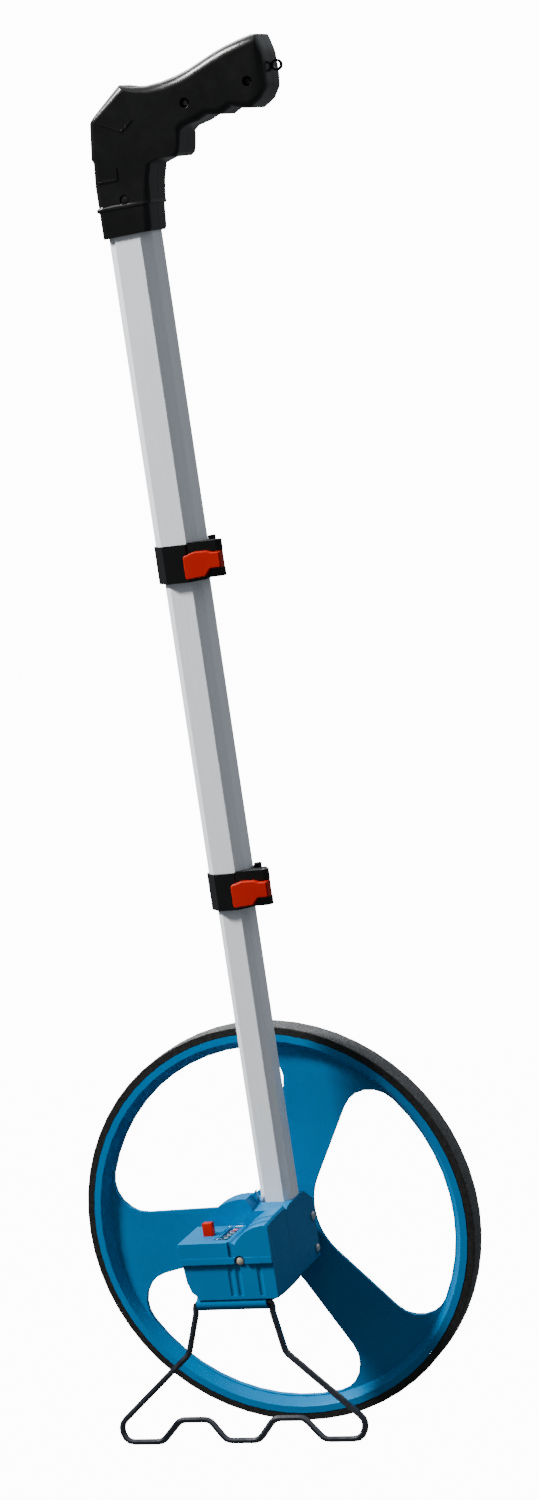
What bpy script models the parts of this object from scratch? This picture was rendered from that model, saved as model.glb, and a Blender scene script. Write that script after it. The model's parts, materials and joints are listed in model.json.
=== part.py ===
"""A measuring wheel: a one metre wheel with a geared counter, a telescopic tube and a wire stand.

Everything is modelled in the tool's own frame, in metres. Its origin is on the wheel's axle, in the
plane of the wheel's near side. +X points to the user, +Y from the counter to the wheel, and +Z up
along the tube. The tool then leans on its stand, so that wheel and stand touch the floor at z = 0.
"""

import math

import bmesh
import bpy
from mathutils import Matrix, Vector

# General clearances
GAP = 0.0003
RUNNING_GAP = 0.0005
OVERRUN = 0.002
SINK = 0.001

# Wheel and tyre
WHEEL_ROLL = 1.0
TYRE_RADIUS = WHEEL_ROLL / (2 * math.pi)
TYRE_THICKNESS = 0.0060
TYRE_SHOULDER = 0.0008
TYRE_SHOULDER_WIDTH = 0.0014
WHEEL_WIDTH = 0.020
RIM_BAND = 0.0058
RIM_CONE = 0.0050
RIM_LIP = 0.0006
WEB_THICKNESS = 0.0030
WEB_RING_STEP = 0.0008
WEB_RING_SLOPE = 0.0040
WEB_RING_RADIUS = 0.1215
HUB_RADIUS = 0.0200
HUB_NEAR = -0.0025
HUB_FAR = 0.0160
HUB_EDGE = 0.0012
WINDOW_OUTER_RADIUS = 0.1412
WINDOW_HALF_ANGLE = math.radians(54.2)
WINDOW_OFFSET = 0.0143
WINDOW_HUB_FILLET = 0.051
WINDOW_RIM_FILLET = 0.0250
WINDOW_COUNT = 3
WINDOW_TURN = math.radians(7)
WHEEL_STEPS = 60
WINDOW_CORNER_STEPS = 6
WINDOW_RIM_STEPS = 10
WINDOW_HUB_STEPS = 9

# Axle, bearings and hub
AXLE_RADIUS = 0.0040
AXLE_FRONT = -0.0609
AXLE_END_EDGE = 0.0006
BEARING_RADIUS = 0.0080
BEARING_WIDTH = 0.0050
BEARING_RING = 0.0011
BEARING_RECESS = 0.0004
BEARING_STEPS = 16
BORE_RADIUS = 0.0050
FRONT_BEARING_Y = -0.0547
REAR_BEARING_Y = -0.0112
NUT_RADIUS = 0.0075
NUT_HEIGHT = 0.0065
HUB_CAP_RADIUS = 0.0175
HUB_CAP_WALL = 0.0017
HUB_CAP_EDGE = 0.0025
HUB_SPACER_RADIUS = 0.0068

# Gears: the wheel drives the counter one to one
GEAR_MODULE = 0.00075
GEAR_TEETH = 16
GEAR_WIDTH = 0.0038
GEAR_Y = -0.0605
GEAR_ROOT_SHARE = 1.25
TOOTH_SHARES = ((-0.30, "root"), (-0.12, "tip"), (0.12, "tip"), (0.30, "root"))
GEAR_RADIUS = GEAR_MODULE * GEAR_TEETH / 2

# Counter drums
COUNTER_Z = 0.0100
COUNTER_X = -math.sqrt((2 * GEAR_RADIUS) ** 2 - COUNTER_Z**2)
DRUM_RADIUS = 0.0085
DRUM_WIDTH = 0.0064
DRUM_RECESS = 0.0007
DRUM_RIM = 0.0020
DRUM_NAMES = ("drum_tenths", "drum_metres", "drum_tens", "drum_hundreds", "drum_thousands")
DRUM_STEPS = 20
COUNTER_SHAFT_RADIUS = 0.0015
SLEEVE_RADIUS = 0.0030
FRAME_PLATE = 0.0016
FRAME_HALF_WIDTH = 0.0078
FRAME_EAR_HALF_WIDTH = 0.0055
FRAME_EAR_TOP = 0.0158

# Gear case, the rear half of the housing
CASE_PART_Y = -0.0630
CASE_BACK_Y = -0.0045
CASE_RIGHT = 0.0340
CASE_BOTTOM = -0.0240
CASE_WALL = 0.0022
CASE_EDGE = 0.0016
DISC_RADIUS = 0.0410
DISC_BACK_Y = -0.0450
DISC_EDGE = 0.0030
AXLE_BARREL_RADIUS = 0.0300
DISC_STEPS = 36
AXLE_BARREL_STEPS = 24
SOCKET_TOP = 0.0334
SOCKET_FRONT_TOP = 0.0312
SOCKET_LEDGE = 0.0030
SOCKET_LEFT = 0.0030
SOCKET_SLOPE = 0.0055
BACK_TOP = 0.0222
CHAMBER_BOX = (-0.0270, -0.0150, 0.0220, 0.0174)
CHAMBER_Y = -0.0550
PLATE_BOX = (-0.0330, -0.0205, 0.0270, 0.0196)
PLATE_CORNER = 0.0050
PLATE_THICKNESS = 0.0015
PLATE_SEAT_Y = -0.0610
FIN_WIDTH = 0.0060
FIN_HEIGHT = 0.0036
FIN_THICKNESS = 0.0022

# Axle carrier in the back of the gear case
CARRIER_LEFT = -0.0257
CARRIER_HALF_HEIGHT = 0.0195
CARRIER_FRONT_Y = -0.0167
CARRIER_BACK_Y = -0.0050
CARRIER_PLATE = 0.0035
CARRIER_BOSS_RADIUS = 0.0115
CARRIER_LUG = 0.0085
CARRIER_CORNER = 0.0015

# Counter case, the front half of the housing
FRONT_Y = -0.1050
LOWER_SETBACK = 0.0020
CASE_LEFT = -0.0400
CASE_TOP = 0.0210
LEDGE_Z = 0.0040
LEDGE_BAND = 0.0048
BAND_STEP = 0.0004
ARCH_TOP = 0.0335
ARCH_RADIUS = 0.0325
ARCH_START_Z = 0.0196
ARCH_STEPS = 7
HOOD_STEPS = ((-0.0965, 0.0006), (-0.0860, 0.0012))
GROOVE_LEFT = 0.0012
GROOVE_FLOOR_LEFT = 0.0030
FRONT_GROOVE_RIGHT = 0.0052
FRONT_GROOVE_DEPTH = 0.0014
FLUTE_PLACES = (-0.0010, 0.0052, 0.0222)
FLUTE_RADIUS = 0.0036
FLUTE_DEPTH = 0.0008
FLUTE_BOTTOM = -0.0215
LOWER_SIDE_SHARES = ((0.974, 0.10), (0.938, -0.40), (0.865, -0.75), (0.790, -0.85), (0.755, -1.0))
CASE_CORNER = 0.0016
FRONT_EDGE = 0.0010
COVER_SCREW_X = 0.0082
COVER_SCREW_Z = 0.0058
COVER_RECESS_RADIUS = 0.0044
COVER_RECESS_DEPTH = 0.0030
RECESS_STEPS = 16
COVER_SCREW_SHARES = ((0.5, 1.0), (0.9, 0.7), (1.0, 0.3))
COVER_BOSS_WALL = 0.0024
PLATE_BOSS_WALL = 0.0012
LENS_LEDGE = 0.0010
LENS_THICKNESS = 0.0011
LENS_PROUD = 0.0002
WINDOW_SIDE = 0.0044
WINDOW_END_SHARE = 0.06

# Reset button and its spring
BUTTON_LEFT = -0.0248
BUTTON_RIGHT = -0.0170
BUTTON_FRONT = -0.0880
BUTTON_DEPTH = 0.0052
BUTTON_PROUD = 0.0100
BUTTON_TRAVEL = 0.0060
BUTTON_STEM = 0.0085
BUTTON_FLANGE = 0.0022
BUTTON_FLANGE_REACH = 0.0024
BUTTON_EDGE = 0.0008
SPRING_RADIUS = 0.0029
SPRING_WIRE = 0.00045
SPRING_TURNS = 5
SPRING_TURN_POINTS = 9
SPRING_SEAT_Z = -0.0080
POST_RADIUS = 0.0038
POST_PIN_RADIUS = 0.0019
POST_PIN_TOP = 0.0025

# Wire stand
STAND_X = -0.0048
HINGE_Y = -0.0970
HINGE_Z = -0.0280
BARREL_RADIUS = 0.00575
BARREL_HALF = 0.0280
BARREL_WEB_HALF = 0.0032
BARREL_STEPS = 18
WIRE_RADIUS = 0.0025
STAND_LENGTH = 0.1030
STAND_SPLAY = math.radians(12)
STAND_END = 0.0200
STAND_HALF_WIDTH = 0.0990
STAND_SHOULDER = 0.0310
STAND_BEND = 0.0095
STAND_PATH_SHARES = (
    (0.394, 0.369),
    (1.000, 0.870),
    (0.960, 1.000),
    (0.657, 1.000),
    (0.505, 0.845),
    (0.263, 0.845),
    (0.131, 1.000),
)
STAND_SHOULDER_SHARE = 0.078
BEND_STEPS = 3

# Telescopic octagonal tube, from the case up
TUBE_X = 0.0202
TUBE_Y = -0.0350
TUBE_WALL = 0.0013
TUBE_CUT_SHARE = 0.206
LOWER_ACROSS = 0.0248
MIDDLE_ACROSS = 0.0294
UPPER_ACROSS = 0.0340
LOWER_BOTTOM = -0.0120
LOWER_TOP = 0.3600
MIDDLE_TOP = 0.5970
HANDLE_Z = 0.7640
TUBE_IN_HANDLE_SHARE = 0.47
BUSH_WALL = 0.0004
BUSH_SKIRT = 0.0150
BUSH_LIP = 0.0012
BUSH_INNER = 0.0024
TUBE_SCREW_Z = 0.0040
TUBE_SCREW_RADIUS = 0.0016
TUBE_SCREW_HEAD = 0.0032
TUBE_SCREW_HEAD_DEPTH = 0.0024

# Lever clamps
LOWER_CLAMP_Z = 0.2610
UPPER_CLAMP_Z = 0.5090
CLAMP_HEIGHT = 0.0280
CLAMP_WALL = 0.0020
CLAMP_CUT_SHARE = 0.265
CLAMP_FLOOR = 0.0030
PIN_REACH = 0.0132
PIN_DEPTH = 0.0048
PIN_RADIUS = 0.0019
EAR_RADIUS = 0.0046
EAR_STEPS = 6
LUG_DEPTH = 0.0092
LUG_LEFT = 0.0080
LUG_BOTTOM = 0.0020
LUG_RISE = 0.0010
FORK_LOW = 0.0082
FORK_HIGH = 0.0210
FORK_CLEARANCE = 0.0006
SPLIT_WIDTH = 0.0012
REAR_EAR_REACH = 0.0095
REAR_EAR_DEPTH = 0.0080
REAR_EAR_START = -0.0010
REAR_BOSS_RADIUS = 0.0030
REAR_BOSS_HEIGHT = 0.0030
BOLT_RADIUS = 0.0015
BOLT_HEAD_RADIUS = 0.0030
BOLT_HEAD = 0.0022
BOLT_REACH = 0.0050
LEVER_LENGTH = 0.0290
LEVER_THICKNESS = 0.0037
LEVER_LIFT = 0.0004
LEVER_SHOULDER_SHARE = 0.70
LEVER_SHARES = (
    (0.00, 0.075),
    (0.55, 0.125),
    (0.70, 0.311),
    (1.00, 0.311),
    (1.00, 0.732),
    (0.79, 0.732),
    (0.64, 0.786),
    (0.31, 0.793),
    (0.00, 0.696),
)
LEVER_EDGE = 0.0008
LEVER_BEND_STEPS = 2
LEVER_ROOT_STEPS = 16

# Pistol handle
HANDLE_AXIS_X = 0.0194
HANDLE_HALF = 0.0190
HANDLE_REACH = 0.1235
HANDLE_HEIGHT = 0.1277
HANDLE_WALL = 0.0026
SLEEVE_WALL = 0.0020
SLEEVE_TAPER = 0.0006
SHELL_ARC_STEPS = 4
HOLLOW_ARC_STEPS = 2
HOLLOW_ROUND_SHARE = 0.9
CROWN = 0.0085
GRIP_EDGE = 0.0055
SLEEVE_EDGE = 0.0050
RIB_HEIGHT = 0.0018
RIDGE_HEIGHT = 0.0006
RIDGE_WIDTH = 0.0012
RIDGE_SHARES = (
    ((-0.062, 0.645), (0.073, 0.583), (0.147, 0.637)),
    ((-0.118, 0.318), (0.004, 0.322), (0.007, 0.388)),
)
HANDLE_SCREW_PLACES = (("handle_screw_grip", 0.488, 0.685), ("handle_screw_butt", 0.890, 0.745))
SLEEVE_SCREW_PLACE = ("handle_screw_sleeve", 0.030, 0.204)
HANDLE_SCREW_RADIUS = 0.0016
HANDLE_SCREW_HEAD = 0.0030
HANDLE_SCREW_TOP_SHARE = 0.6
HANDLE_RECESS_RADIUS = 0.0036
HANDLE_RECESS_DEPTH = 0.0042
HANDLE_RECESS_SHARE = 0.45
HANDLE_BOSS_RADIUS = 0.0044
HANDLE_SCREW_END = 0.0140
SLEEVE_RECESS_DEPTH = 0.0014
EYELET_SHARES = (1.032, 0.814)
EYELET_RADIUS = 0.0042
EYELET_HOLE = 0.0025
EYELET_HALF = 0.0013
EYELET_NECK = 0.0015
EYELET_SHANK = 0.0100
EYELET_STEPS = 16

# Small round parts
ROUND_STEPS = 20
SMALL_STEPS = 12
SIDE_SCREW_Y = -0.0105
SIDE_SCREW_PLACES = (("side_screw_upper", 0.0100), ("side_screw_lower", -0.0160))
SIDE_SCREW_HEAD = 0.0034
SIDE_SCREW_DOME = 0.0020
SIDE_SCREW_SHARES = ((1.0, 0.35), (0.75, 0.8), (0.35, 1.0))
SIDE_SCREW_RADIUS = 0.0015
SIDE_SCREW_LENGTH = 0.0100
PLATE_SCREW_PLACES = (("plate_screw_left", -0.0300, -0.0070), ("plate_screw_low", 0.0120, -0.0177))
PLATE_SCREW_HEAD = 0.0024
PLATE_SCREW_RADIUS = 0.0012
PLATE_SCREW_LENGTH = 0.0060
PLATE_SCREW_CAP = 0.0012

# Places that follow from the sizes above
RIM_RADIUS = TYRE_RADIUS - TYRE_THICKNESS - GAP
RIM_FACE_RADIUS = RIM_RADIUS - RIM_BAND
WEB_Y = WHEEL_WIDTH / 2
HALF_WEB = WEB_THICKNESS / 2
CASE_SPLIT_Y = CASE_PART_Y - GAP
PLATE_FRONT_Y = PLATE_SEAT_Y - GAP - PLATE_THICKNESS
FRAME_BACK_Y = PLATE_FRONT_Y - GAP
DRUM_FIRST_Y = FRAME_BACK_Y - FRAME_PLATE - GAP
DRUM_PITCH = DRUM_WIDTH + GAP
DRUMS_END_Y = DRUM_FIRST_Y - len(DRUM_NAMES) * DRUM_PITCH + GAP
FRAME_FRONT_Y = DRUMS_END_Y - GAP - FRAME_PLATE
CAVITY_FRONT_Y = FRONT_Y + LOWER_SETBACK + CASE_WALL
MIDDLE_BOTTOM = LOWER_CLAMP_Z + CLAMP_FLOOR + GAP
UPPER_BOTTOM = UPPER_CLAMP_Z + CLAMP_FLOOR + GAP
BUTTON_TOP = CASE_TOP + BUTTON_PROUD
TUBE_IN_HANDLE = TUBE_IN_HANDLE_SHARE * HANDLE_HEIGHT
SLEEVE_HALF = UPPER_ACROSS / 2 + GAP + SLEEVE_WALL
COVER_INSIDE = CASE_TOP - CASE_WALL


def stand_lean():
    """The angle at which the tyre's near shoulder and the stand's feet touch one flat floor."""
    shoulder = Vector((TYRE_SHOULDER_WIDTH + GAP, -TYRE_RADIUS))
    foot_y = HINGE_Y - STAND_LENGTH * math.sin(STAND_SPLAY)
    foot_z = HINGE_Z - STAND_LENGTH * math.cos(STAND_SPLAY)
    across = shoulder.x - foot_y
    rise = foot_z - shoulder.y
    return math.atan2(rise, across) - math.asin(WIRE_RADIUS / math.hypot(across, rise))


def place_tool(tool):
    """Stands the tool on the floor, with the middle of its outline over the world's origin."""
    lean = stand_lean()
    shoulder_y = TYRE_SHOULDER_WIDTH + GAP
    lowest = shoulder_y * math.sin(lean) - TYRE_RADIUS * math.cos(lean)
    back = WHEEL_WIDTH * math.cos(lean) + TYRE_RADIUS * math.sin(lean)
    handle_top = HANDLE_Z + HANDLE_HEIGHT
    front = (TUBE_Y - HANDLE_HALF) * math.cos(lean) - handle_top * math.sin(lean)
    tool.rotation_euler = (lean, 0, 0)
    tool.location = (0, -(back + front) / 2, -lowest)


def clear_scene():
    for old in list(bpy.data.objects):
        bpy.data.objects.remove(old, do_unlink=True)


# Shapes

TO_POINT = {
    "X": lambda a, b, h: Vector((h, a, b)),
    "Y": lambda a, b, h: Vector((a, h, b)),
    "Z": lambda a, b, h: Vector((a, b, h)),
}


def shape_from(points, faces):
    shape = bmesh.new()
    corners = [shape.verts.new(point) for point in points]
    for face in faces:
        shape.faces.new([corners[i] for i in face])
    bmesh.ops.recalc_face_normals(shape, faces=shape.faces)
    return shape


def prism(outline, axis, low, high):
    """A closed outline pushed along an axis. X takes (y, z), Y takes (x, z) and Z takes (x, y)."""
    place = TO_POINT[axis]
    count = len(outline)
    points = [place(a, b, low) for a, b in outline] + [place(a, b, high) for a, b in outline]
    faces = [tuple(range(count)), tuple(range(count, 2 * count))]
    for i in range(count):
        j = (i + 1) % count
        faces.append((i, j, j + count, i + count))
    return shape_from(points, faces)


def ring_prism(outer, inner, axis, low, high):
    """A straight tube between two outlines that have the same number of points."""
    place = TO_POINT[axis]
    count = len(outer)
    loops = [(outer, low), (outer, high), (inner, high), (inner, low)]
    points = [place(a, b, h) for outline, h in loops for a, b in outline]
    faces = []
    for k in range(4):
        for i in range(count):
            j = (i + 1) % count
            step, after = k * count, (k + 1) % 4 * count
            faces.append((step + i, step + j, after + j, after + i))
    return shape_from(points, faces)


def turned(profile, axis, centre, steps=ROUND_STEPS):
    """A (radius, height) profile turned about an axis. One that starts or ends off it is a ring."""
    place = TO_POINT[axis]
    ring = profile[0][0] > 0
    points, rows = [], []
    for radius, height in profile:
        row = []
        for i in range(steps if radius > 0 else 1):
            angle = 2 * math.pi * i / steps
            row.append(len(points))
            a = centre[0] + radius * math.cos(angle)
            b = centre[1] + radius * math.sin(angle)
            points.append(place(a, b, height))
        rows.append(row if radius > 0 else row * steps)
    faces = []
    pairs = list(zip(rows, rows[1:]))
    if ring:
        pairs.append((rows[-1], rows[0]))
    for row, after in pairs:
        for i in range(steps):
            j = (i + 1) % steps
            corners = dict.fromkeys((row[i], row[j], after[j], after[i]))
            faces.append(tuple(corners))
    return shape_from(points, faces)


def rod(axis, centre, radius, low, high, steps=ROUND_STEPS, edge=0):
    if edge:
        profile = [(0, low), (radius - edge, low), (radius, low + edge)]
        profile += [(radius, high - edge), (radius - edge, high), (0, high)]
    else:
        profile = [(0, low), (radius, low), (radius, high), (0, high)]
    return turned(profile, axis, centre, steps)


def ring(axis, centre, inner, outer, low, high, steps=ROUND_STEPS):
    profile = [(inner, low), (outer, low), (outer, high), (inner, high)]
    return turned(profile, axis, centre, steps)


def block(low, high):
    outline = [(low[0], low[1]), (high[0], low[1]), (high[0], high[1]), (low[0], high[1])]
    return prism(outline, "Z", low[2], high[2])


def soften(shape, width, keep, segments=2):
    """Bevels the edges whose two ends both satisfy keep."""
    edges = [edge for edge in shape.edges if all(keep(vert.co) for vert in edge.verts)]
    bmesh.ops.bevel(
        shape,
        geom=edges,
        offset=width,
        segments=segments,
        profile=0.5,
        affect="EDGES",
        clamp_overlap=True,
    )
    return shape


def arc(centre, radius, start, end, steps):
    """Points on an arc, both ends included. Angles are in radians."""
    points = []
    for i in range(steps + 1):
        angle = start + (end - start) * i / steps
        points.append((centre[0] + radius * math.cos(angle), centre[1] + radius * math.sin(angle)))
    return points


def rounded(corners, radius, steps=BEND_STEPS, closed=True):
    """An outline with every corner made round. An open line keeps its two ends."""
    points = []
    count = len(corners)
    for i, corner in enumerate(corners):
        here = Vector(corner)
        if not closed and i in (0, count - 1):
            points.append(here)
            continue
        before = Vector(corners[i - 1]) - here
        after = Vector(corners[(i + 1) % count]) - here
        half = before.angle(after) / 2
        reach = min(radius / math.tan(half), before.length / 2, after.length / 2)
        start = here + before.normalized() * reach
        end = here + after.normalized() * reach
        for k in range(steps + 1):
            share = k / steps
            first = start.lerp(here, share)
            second = here.lerp(end, share)
            points.append(first.lerp(second, share))
    return [tuple(point) for point in points]


def octagon(across, cut):
    half = across / 2
    flat = half - cut
    corners = [(half, -flat), (half, flat), (flat, half), (-flat, half)]
    corners += [(-half, flat), (-half, -flat), (-flat, -half), (flat, -half)]
    return [(TUBE_X + a, TUBE_Y + b) for a, b in corners]


def tube_outline(across):
    return octagon(across, across * TUBE_CUT_SHARE)


def inside_outline(across, wall):
    """The outline that lies one wall inside a tube of this size, all round."""
    cut = across * TUBE_CUT_SHARE - (2 - math.sqrt(2)) * wall
    return octagon(across - 2 * wall, cut)


def chord_disc(radius, right, steps):
    """A disc cut off straight on its right side, where it reaches that far."""
    start = math.acos(min(right / radius, 1))
    points = arc((0, 0), radius, start, 2 * math.pi - start, steps)
    return points if right < radius else points[:-1]


# Objects

BODIES = {}


def add_body(name, parent, place):
    """An empty on the joint's axis. Its pieces are written in the tool's frame and moved to it."""
    empty = bpy.data.objects.new(name, None)
    bpy.context.scene.collection.objects.link(empty)
    place = Vector(place)
    if parent:
        empty.parent = BODIES[parent][0]
        empty.location = place - BODIES[parent][1]
    BODIES[name] = (empty, place)
    return empty


def make_material(name, colour, roughness, metallic=0.0):
    made = bpy.data.materials.new(name)
    made.use_nodes = True
    shader = made.node_tree.nodes["Principled BSDF"]
    shader.inputs["Base Color"].default_value = (*colour, 1)
    shader.inputs["Roughness"].default_value = roughness
    shader.inputs["Metallic"].default_value = metallic
    return made


def add_object(name, body, shape):
    empty, place = BODIES[body]
    shape.transform(Matrix.Translation(-place))
    mesh = bpy.data.meshes.new(name)
    shape.to_mesh(mesh)
    shape.free()
    made = bpy.data.objects.new(name, mesh)
    bpy.context.scene.collection.objects.link(made)
    made.parent = empty
    return made


def add_piece(name, body, shape, look):
    made = add_object(name, body, shape)
    made.data.materials.append(look)
    made.data.shade_smooth()
    made.data.set_sharp_from_angle(angle=math.radians(35))
    return made


def combine(piece, body, shape, operation):
    tool = add_object(f"{piece.name}_tool", body, shape)
    tool.hide_render = True
    tool.display_type = "WIRE"
    change = piece.modifiers.new(operation.lower(), "BOOLEAN")
    change.operation = operation
    change.object = tool


def cut(piece, body, *shapes):
    for shape in shapes:
        combine(piece, body, shape, "DIFFERENCE")


def fuse(piece, body, *shapes):
    for shape in shapes:
        combine(piece, body, shape, "UNION")


def add_wire(name, body, points, radius, look, resolution=1):
    """A round wire along a line of points, with closed ends."""
    empty, place = BODIES[body]
    curve = bpy.data.curves.new(name, "CURVE")
    curve.dimensions = "3D"
    curve.bevel_depth = radius
    curve.bevel_resolution = resolution
    curve.use_fill_caps = True
    line = curve.splines.new("POLY")
    line.points.add(len(points) - 1)
    for slot, point in zip(line.points, points):
        slot.co = (*(Vector(point) - place), 1)
    curve.materials.append(look)
    made = bpy.data.objects.new(name, curve)
    bpy.context.scene.collection.objects.link(made)
    made.parent = empty
    return made


# Wheel

def window_outline(turn):
    """One wheel window: straight sides, a wide round at the hub and round corners at the rim."""
    lean = WINDOW_HALF_ANGLE
    corner = WINDOW_OFFSET / math.sin(lean)
    hub_centre = corner + WINDOW_HUB_FILLET / math.sin(lean)
    rim_reach = WINDOW_OUTER_RADIUS - WINDOW_RIM_FILLET
    rim_angle = lean - math.asin((WINDOW_OFFSET + WINDOW_RIM_FILLET) / rim_reach)
    rim_centre = (rim_reach * math.cos(rim_angle), rim_reach * math.sin(rim_angle))
    side = lean + math.pi / 2
    upper = arc(rim_centre, WINDOW_RIM_FILLET, side, rim_angle, WINDOW_CORNER_STEPS)
    outer = arc((0, 0), WINDOW_OUTER_RADIUS, rim_angle, -rim_angle, WINDOW_RIM_STEPS)
    lower = [(a, -b) for a, b in reversed(upper)]
    hub = arc((hub_centre, 0), WINDOW_HUB_FILLET, 2 * math.pi - side, side, WINDOW_HUB_STEPS)
    outline = upper + outer[1:-1] + lower + hub
    cos, sin = math.cos(turn), math.sin(turn)
    return [(a * cos - b * sin, a * sin + b * cos) for a, b in outline]


def build_wheel(looks):
    near_web, far_web = WEB_Y - HALF_WEB, WEB_Y + HALF_WEB
    cone_foot = RIM_FACE_RADIUS - RIM_CONE
    bore = AXLE_RADIUS + GAP
    ring_near = near_web - WEB_RING_STEP
    ring_far = far_web + WEB_RING_STEP
    profile = [
        (bore, HUB_NEAR),
        (HUB_RADIUS - HUB_EDGE, HUB_NEAR),
        (HUB_RADIUS, HUB_NEAR + HUB_EDGE),
        (HUB_RADIUS, near_web),
        (WEB_RING_RADIUS, near_web),
        (WEB_RING_RADIUS + WEB_RING_SLOPE, ring_near),
        (cone_foot, ring_near),
        (RIM_FACE_RADIUS, RIM_LIP),
        (RIM_FACE_RADIUS + RIM_LIP, 0),
        (RIM_RADIUS, 0),
        (RIM_RADIUS, WHEEL_WIDTH),
        (RIM_FACE_RADIUS + RIM_LIP, WHEEL_WIDTH),
        (RIM_FACE_RADIUS, WHEEL_WIDTH - RIM_LIP),
        (cone_foot, ring_far),
        (WEB_RING_RADIUS + WEB_RING_SLOPE, ring_far),
        (WEB_RING_RADIUS, far_web),
        (HUB_RADIUS, far_web),
        (HUB_RADIUS, HUB_FAR),
        (bore, HUB_FAR),
    ]
    blank = turned(profile, "Y", (0, 0), WHEEL_STEPS)
    wheel = add_piece("spoked_wheel", "wheel", blank, looks["blue"])
    for i in range(WINDOW_COUNT):
        turn = WINDOW_TURN + 2 * math.pi * i / WINDOW_COUNT
        outline = window_outline(turn)
        cut(wheel, "wheel", prism(outline, "Y", ring_near - OVERRUN, ring_far + OVERRUN))

    inner = RIM_RADIUS + GAP
    edge = TYRE_RADIUS - TYRE_SHOULDER
    near, far = GAP, WHEEL_WIDTH - GAP
    profile = [
        (inner, near),
        (edge, near),
        (TYRE_RADIUS, near + TYRE_SHOULDER_WIDTH),
        (TYRE_RADIUS, far - TYRE_SHOULDER_WIDTH),
        (edge, far),
        (inner, far),
    ]
    add_piece("tyre", "wheel", turned(profile, "Y", (0, 0), WHEEL_STEPS), looks["tyre"])


def build_hub(looks):
    nut_low = HUB_FAR + GAP
    axle_end = nut_low + NUT_HEIGHT
    axle = rod("Y", (0, 0), AXLE_RADIUS, AXLE_FRONT, axle_end, edge=AXLE_END_EDGE)
    add_piece("axle", "wheel", axle, looks["steel"])

    spacer_low = REAR_BEARING_Y + BEARING_WIDTH + GAP
    bore = AXLE_RADIUS + GAP
    spacer = ring("Y", (0, 0), bore, HUB_SPACER_RADIUS, spacer_low, HUB_NEAR - GAP)
    add_piece("hub_spacer", "wheel", spacer, looks["steel"])

    hexagon = arc((0, 0), NUT_RADIUS, 0, 2 * math.pi, 6)[:-1]
    hole = arc((0, 0), bore, 0, 2 * math.pi, ROUND_STEPS)[:-1]
    nut = add_piece("axle_nut", "wheel", prism(hexagon, "Y", nut_low, axle_end), looks["steel"])
    cut(nut, "wheel", prism(hole, "Y", nut_low - OVERRUN, axle_end + OVERRUN))

    roof = axle_end + GAP
    face = roof + HUB_CAP_WALL
    profile = [
        (0, roof),
        (HUB_CAP_RADIUS - 2 * HUB_CAP_WALL, roof),
        (HUB_CAP_RADIUS - HUB_CAP_WALL, roof - HUB_CAP_WALL),
        (HUB_CAP_RADIUS - HUB_CAP_WALL, nut_low),
        (HUB_CAP_RADIUS, nut_low),
        (HUB_CAP_RADIUS, face - HUB_CAP_EDGE),
        (HUB_CAP_RADIUS - HUB_CAP_EDGE, face),
        (0, face),
    ]
    add_piece("hub_cap", "wheel", turned(profile, "Y", (0, 0), ROUND_STEPS), looks["blue"])


def build_bearing(name, start, looks):
    end = start + BEARING_WIDTH
    inner = AXLE_RADIUS + GAP
    race = inner + BEARING_RING
    cup = BEARING_RADIUS - BEARING_RING
    profile = [
        (inner, start),
        (race, start),
        (race, start + BEARING_RECESS),
        (cup, start + BEARING_RECESS),
        (cup, start),
        (BEARING_RADIUS, start),
        (BEARING_RADIUS, end),
        (inner, end),
    ]
    add_piece(name, "frame", turned(profile, "Y", (0, 0), BEARING_STEPS), looks["steel"])


# Counter

def gear_outline(centre, phase):
    """Straight-sided teeth. The phase, in teeth, turns a tooth or a gap towards the other gear."""
    towards = math.atan2(COUNTER_Z, COUNTER_X)
    points = []
    for tooth in range(GEAR_TEETH):
        for share, kind in TOOTH_SHARES:
            angle = towards + 2 * math.pi * (tooth + phase + share) / GEAR_TEETH
            reach = GEAR_RADIUS + GEAR_MODULE
            if kind == "root":
                reach = GEAR_RADIUS - GEAR_MODULE * GEAR_ROOT_SHARE
            points.append((centre[0] + reach * math.cos(angle), centre[1] + reach * math.sin(angle)))
    return points


def build_gears(looks):
    end = GEAR_Y + GEAR_WIDTH
    drive = prism(gear_outline((0, 0), 0), "Y", GEAR_Y, end)
    gear = add_piece("drive_gear", "wheel", drive, looks["brass"])
    cut(gear, "wheel", rod("Y", (0, 0), AXLE_RADIUS + GAP, GEAR_Y - OVERRUN, end + OVERRUN))

    centre = (COUNTER_X, COUNTER_Z)
    driven = prism(gear_outline(centre, 0.5), "Y", GEAR_Y, end)
    gear = add_piece("counter_gear", "counter_drive", driven, looks["drum"])
    sleeve_front = DRUM_FIRST_Y + GAP
    fuse(gear, "counter_drive", rod("Y", centre, SLEEVE_RADIUS, sleeve_front, end - GAP, SMALL_STEPS))
    bore = COUNTER_SHAFT_RADIUS + GAP
    hole = rod("Y", centre, bore, sleeve_front - OVERRUN, end + OVERRUN, SMALL_STEPS)
    cut(gear, "counter_drive", hole)


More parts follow.
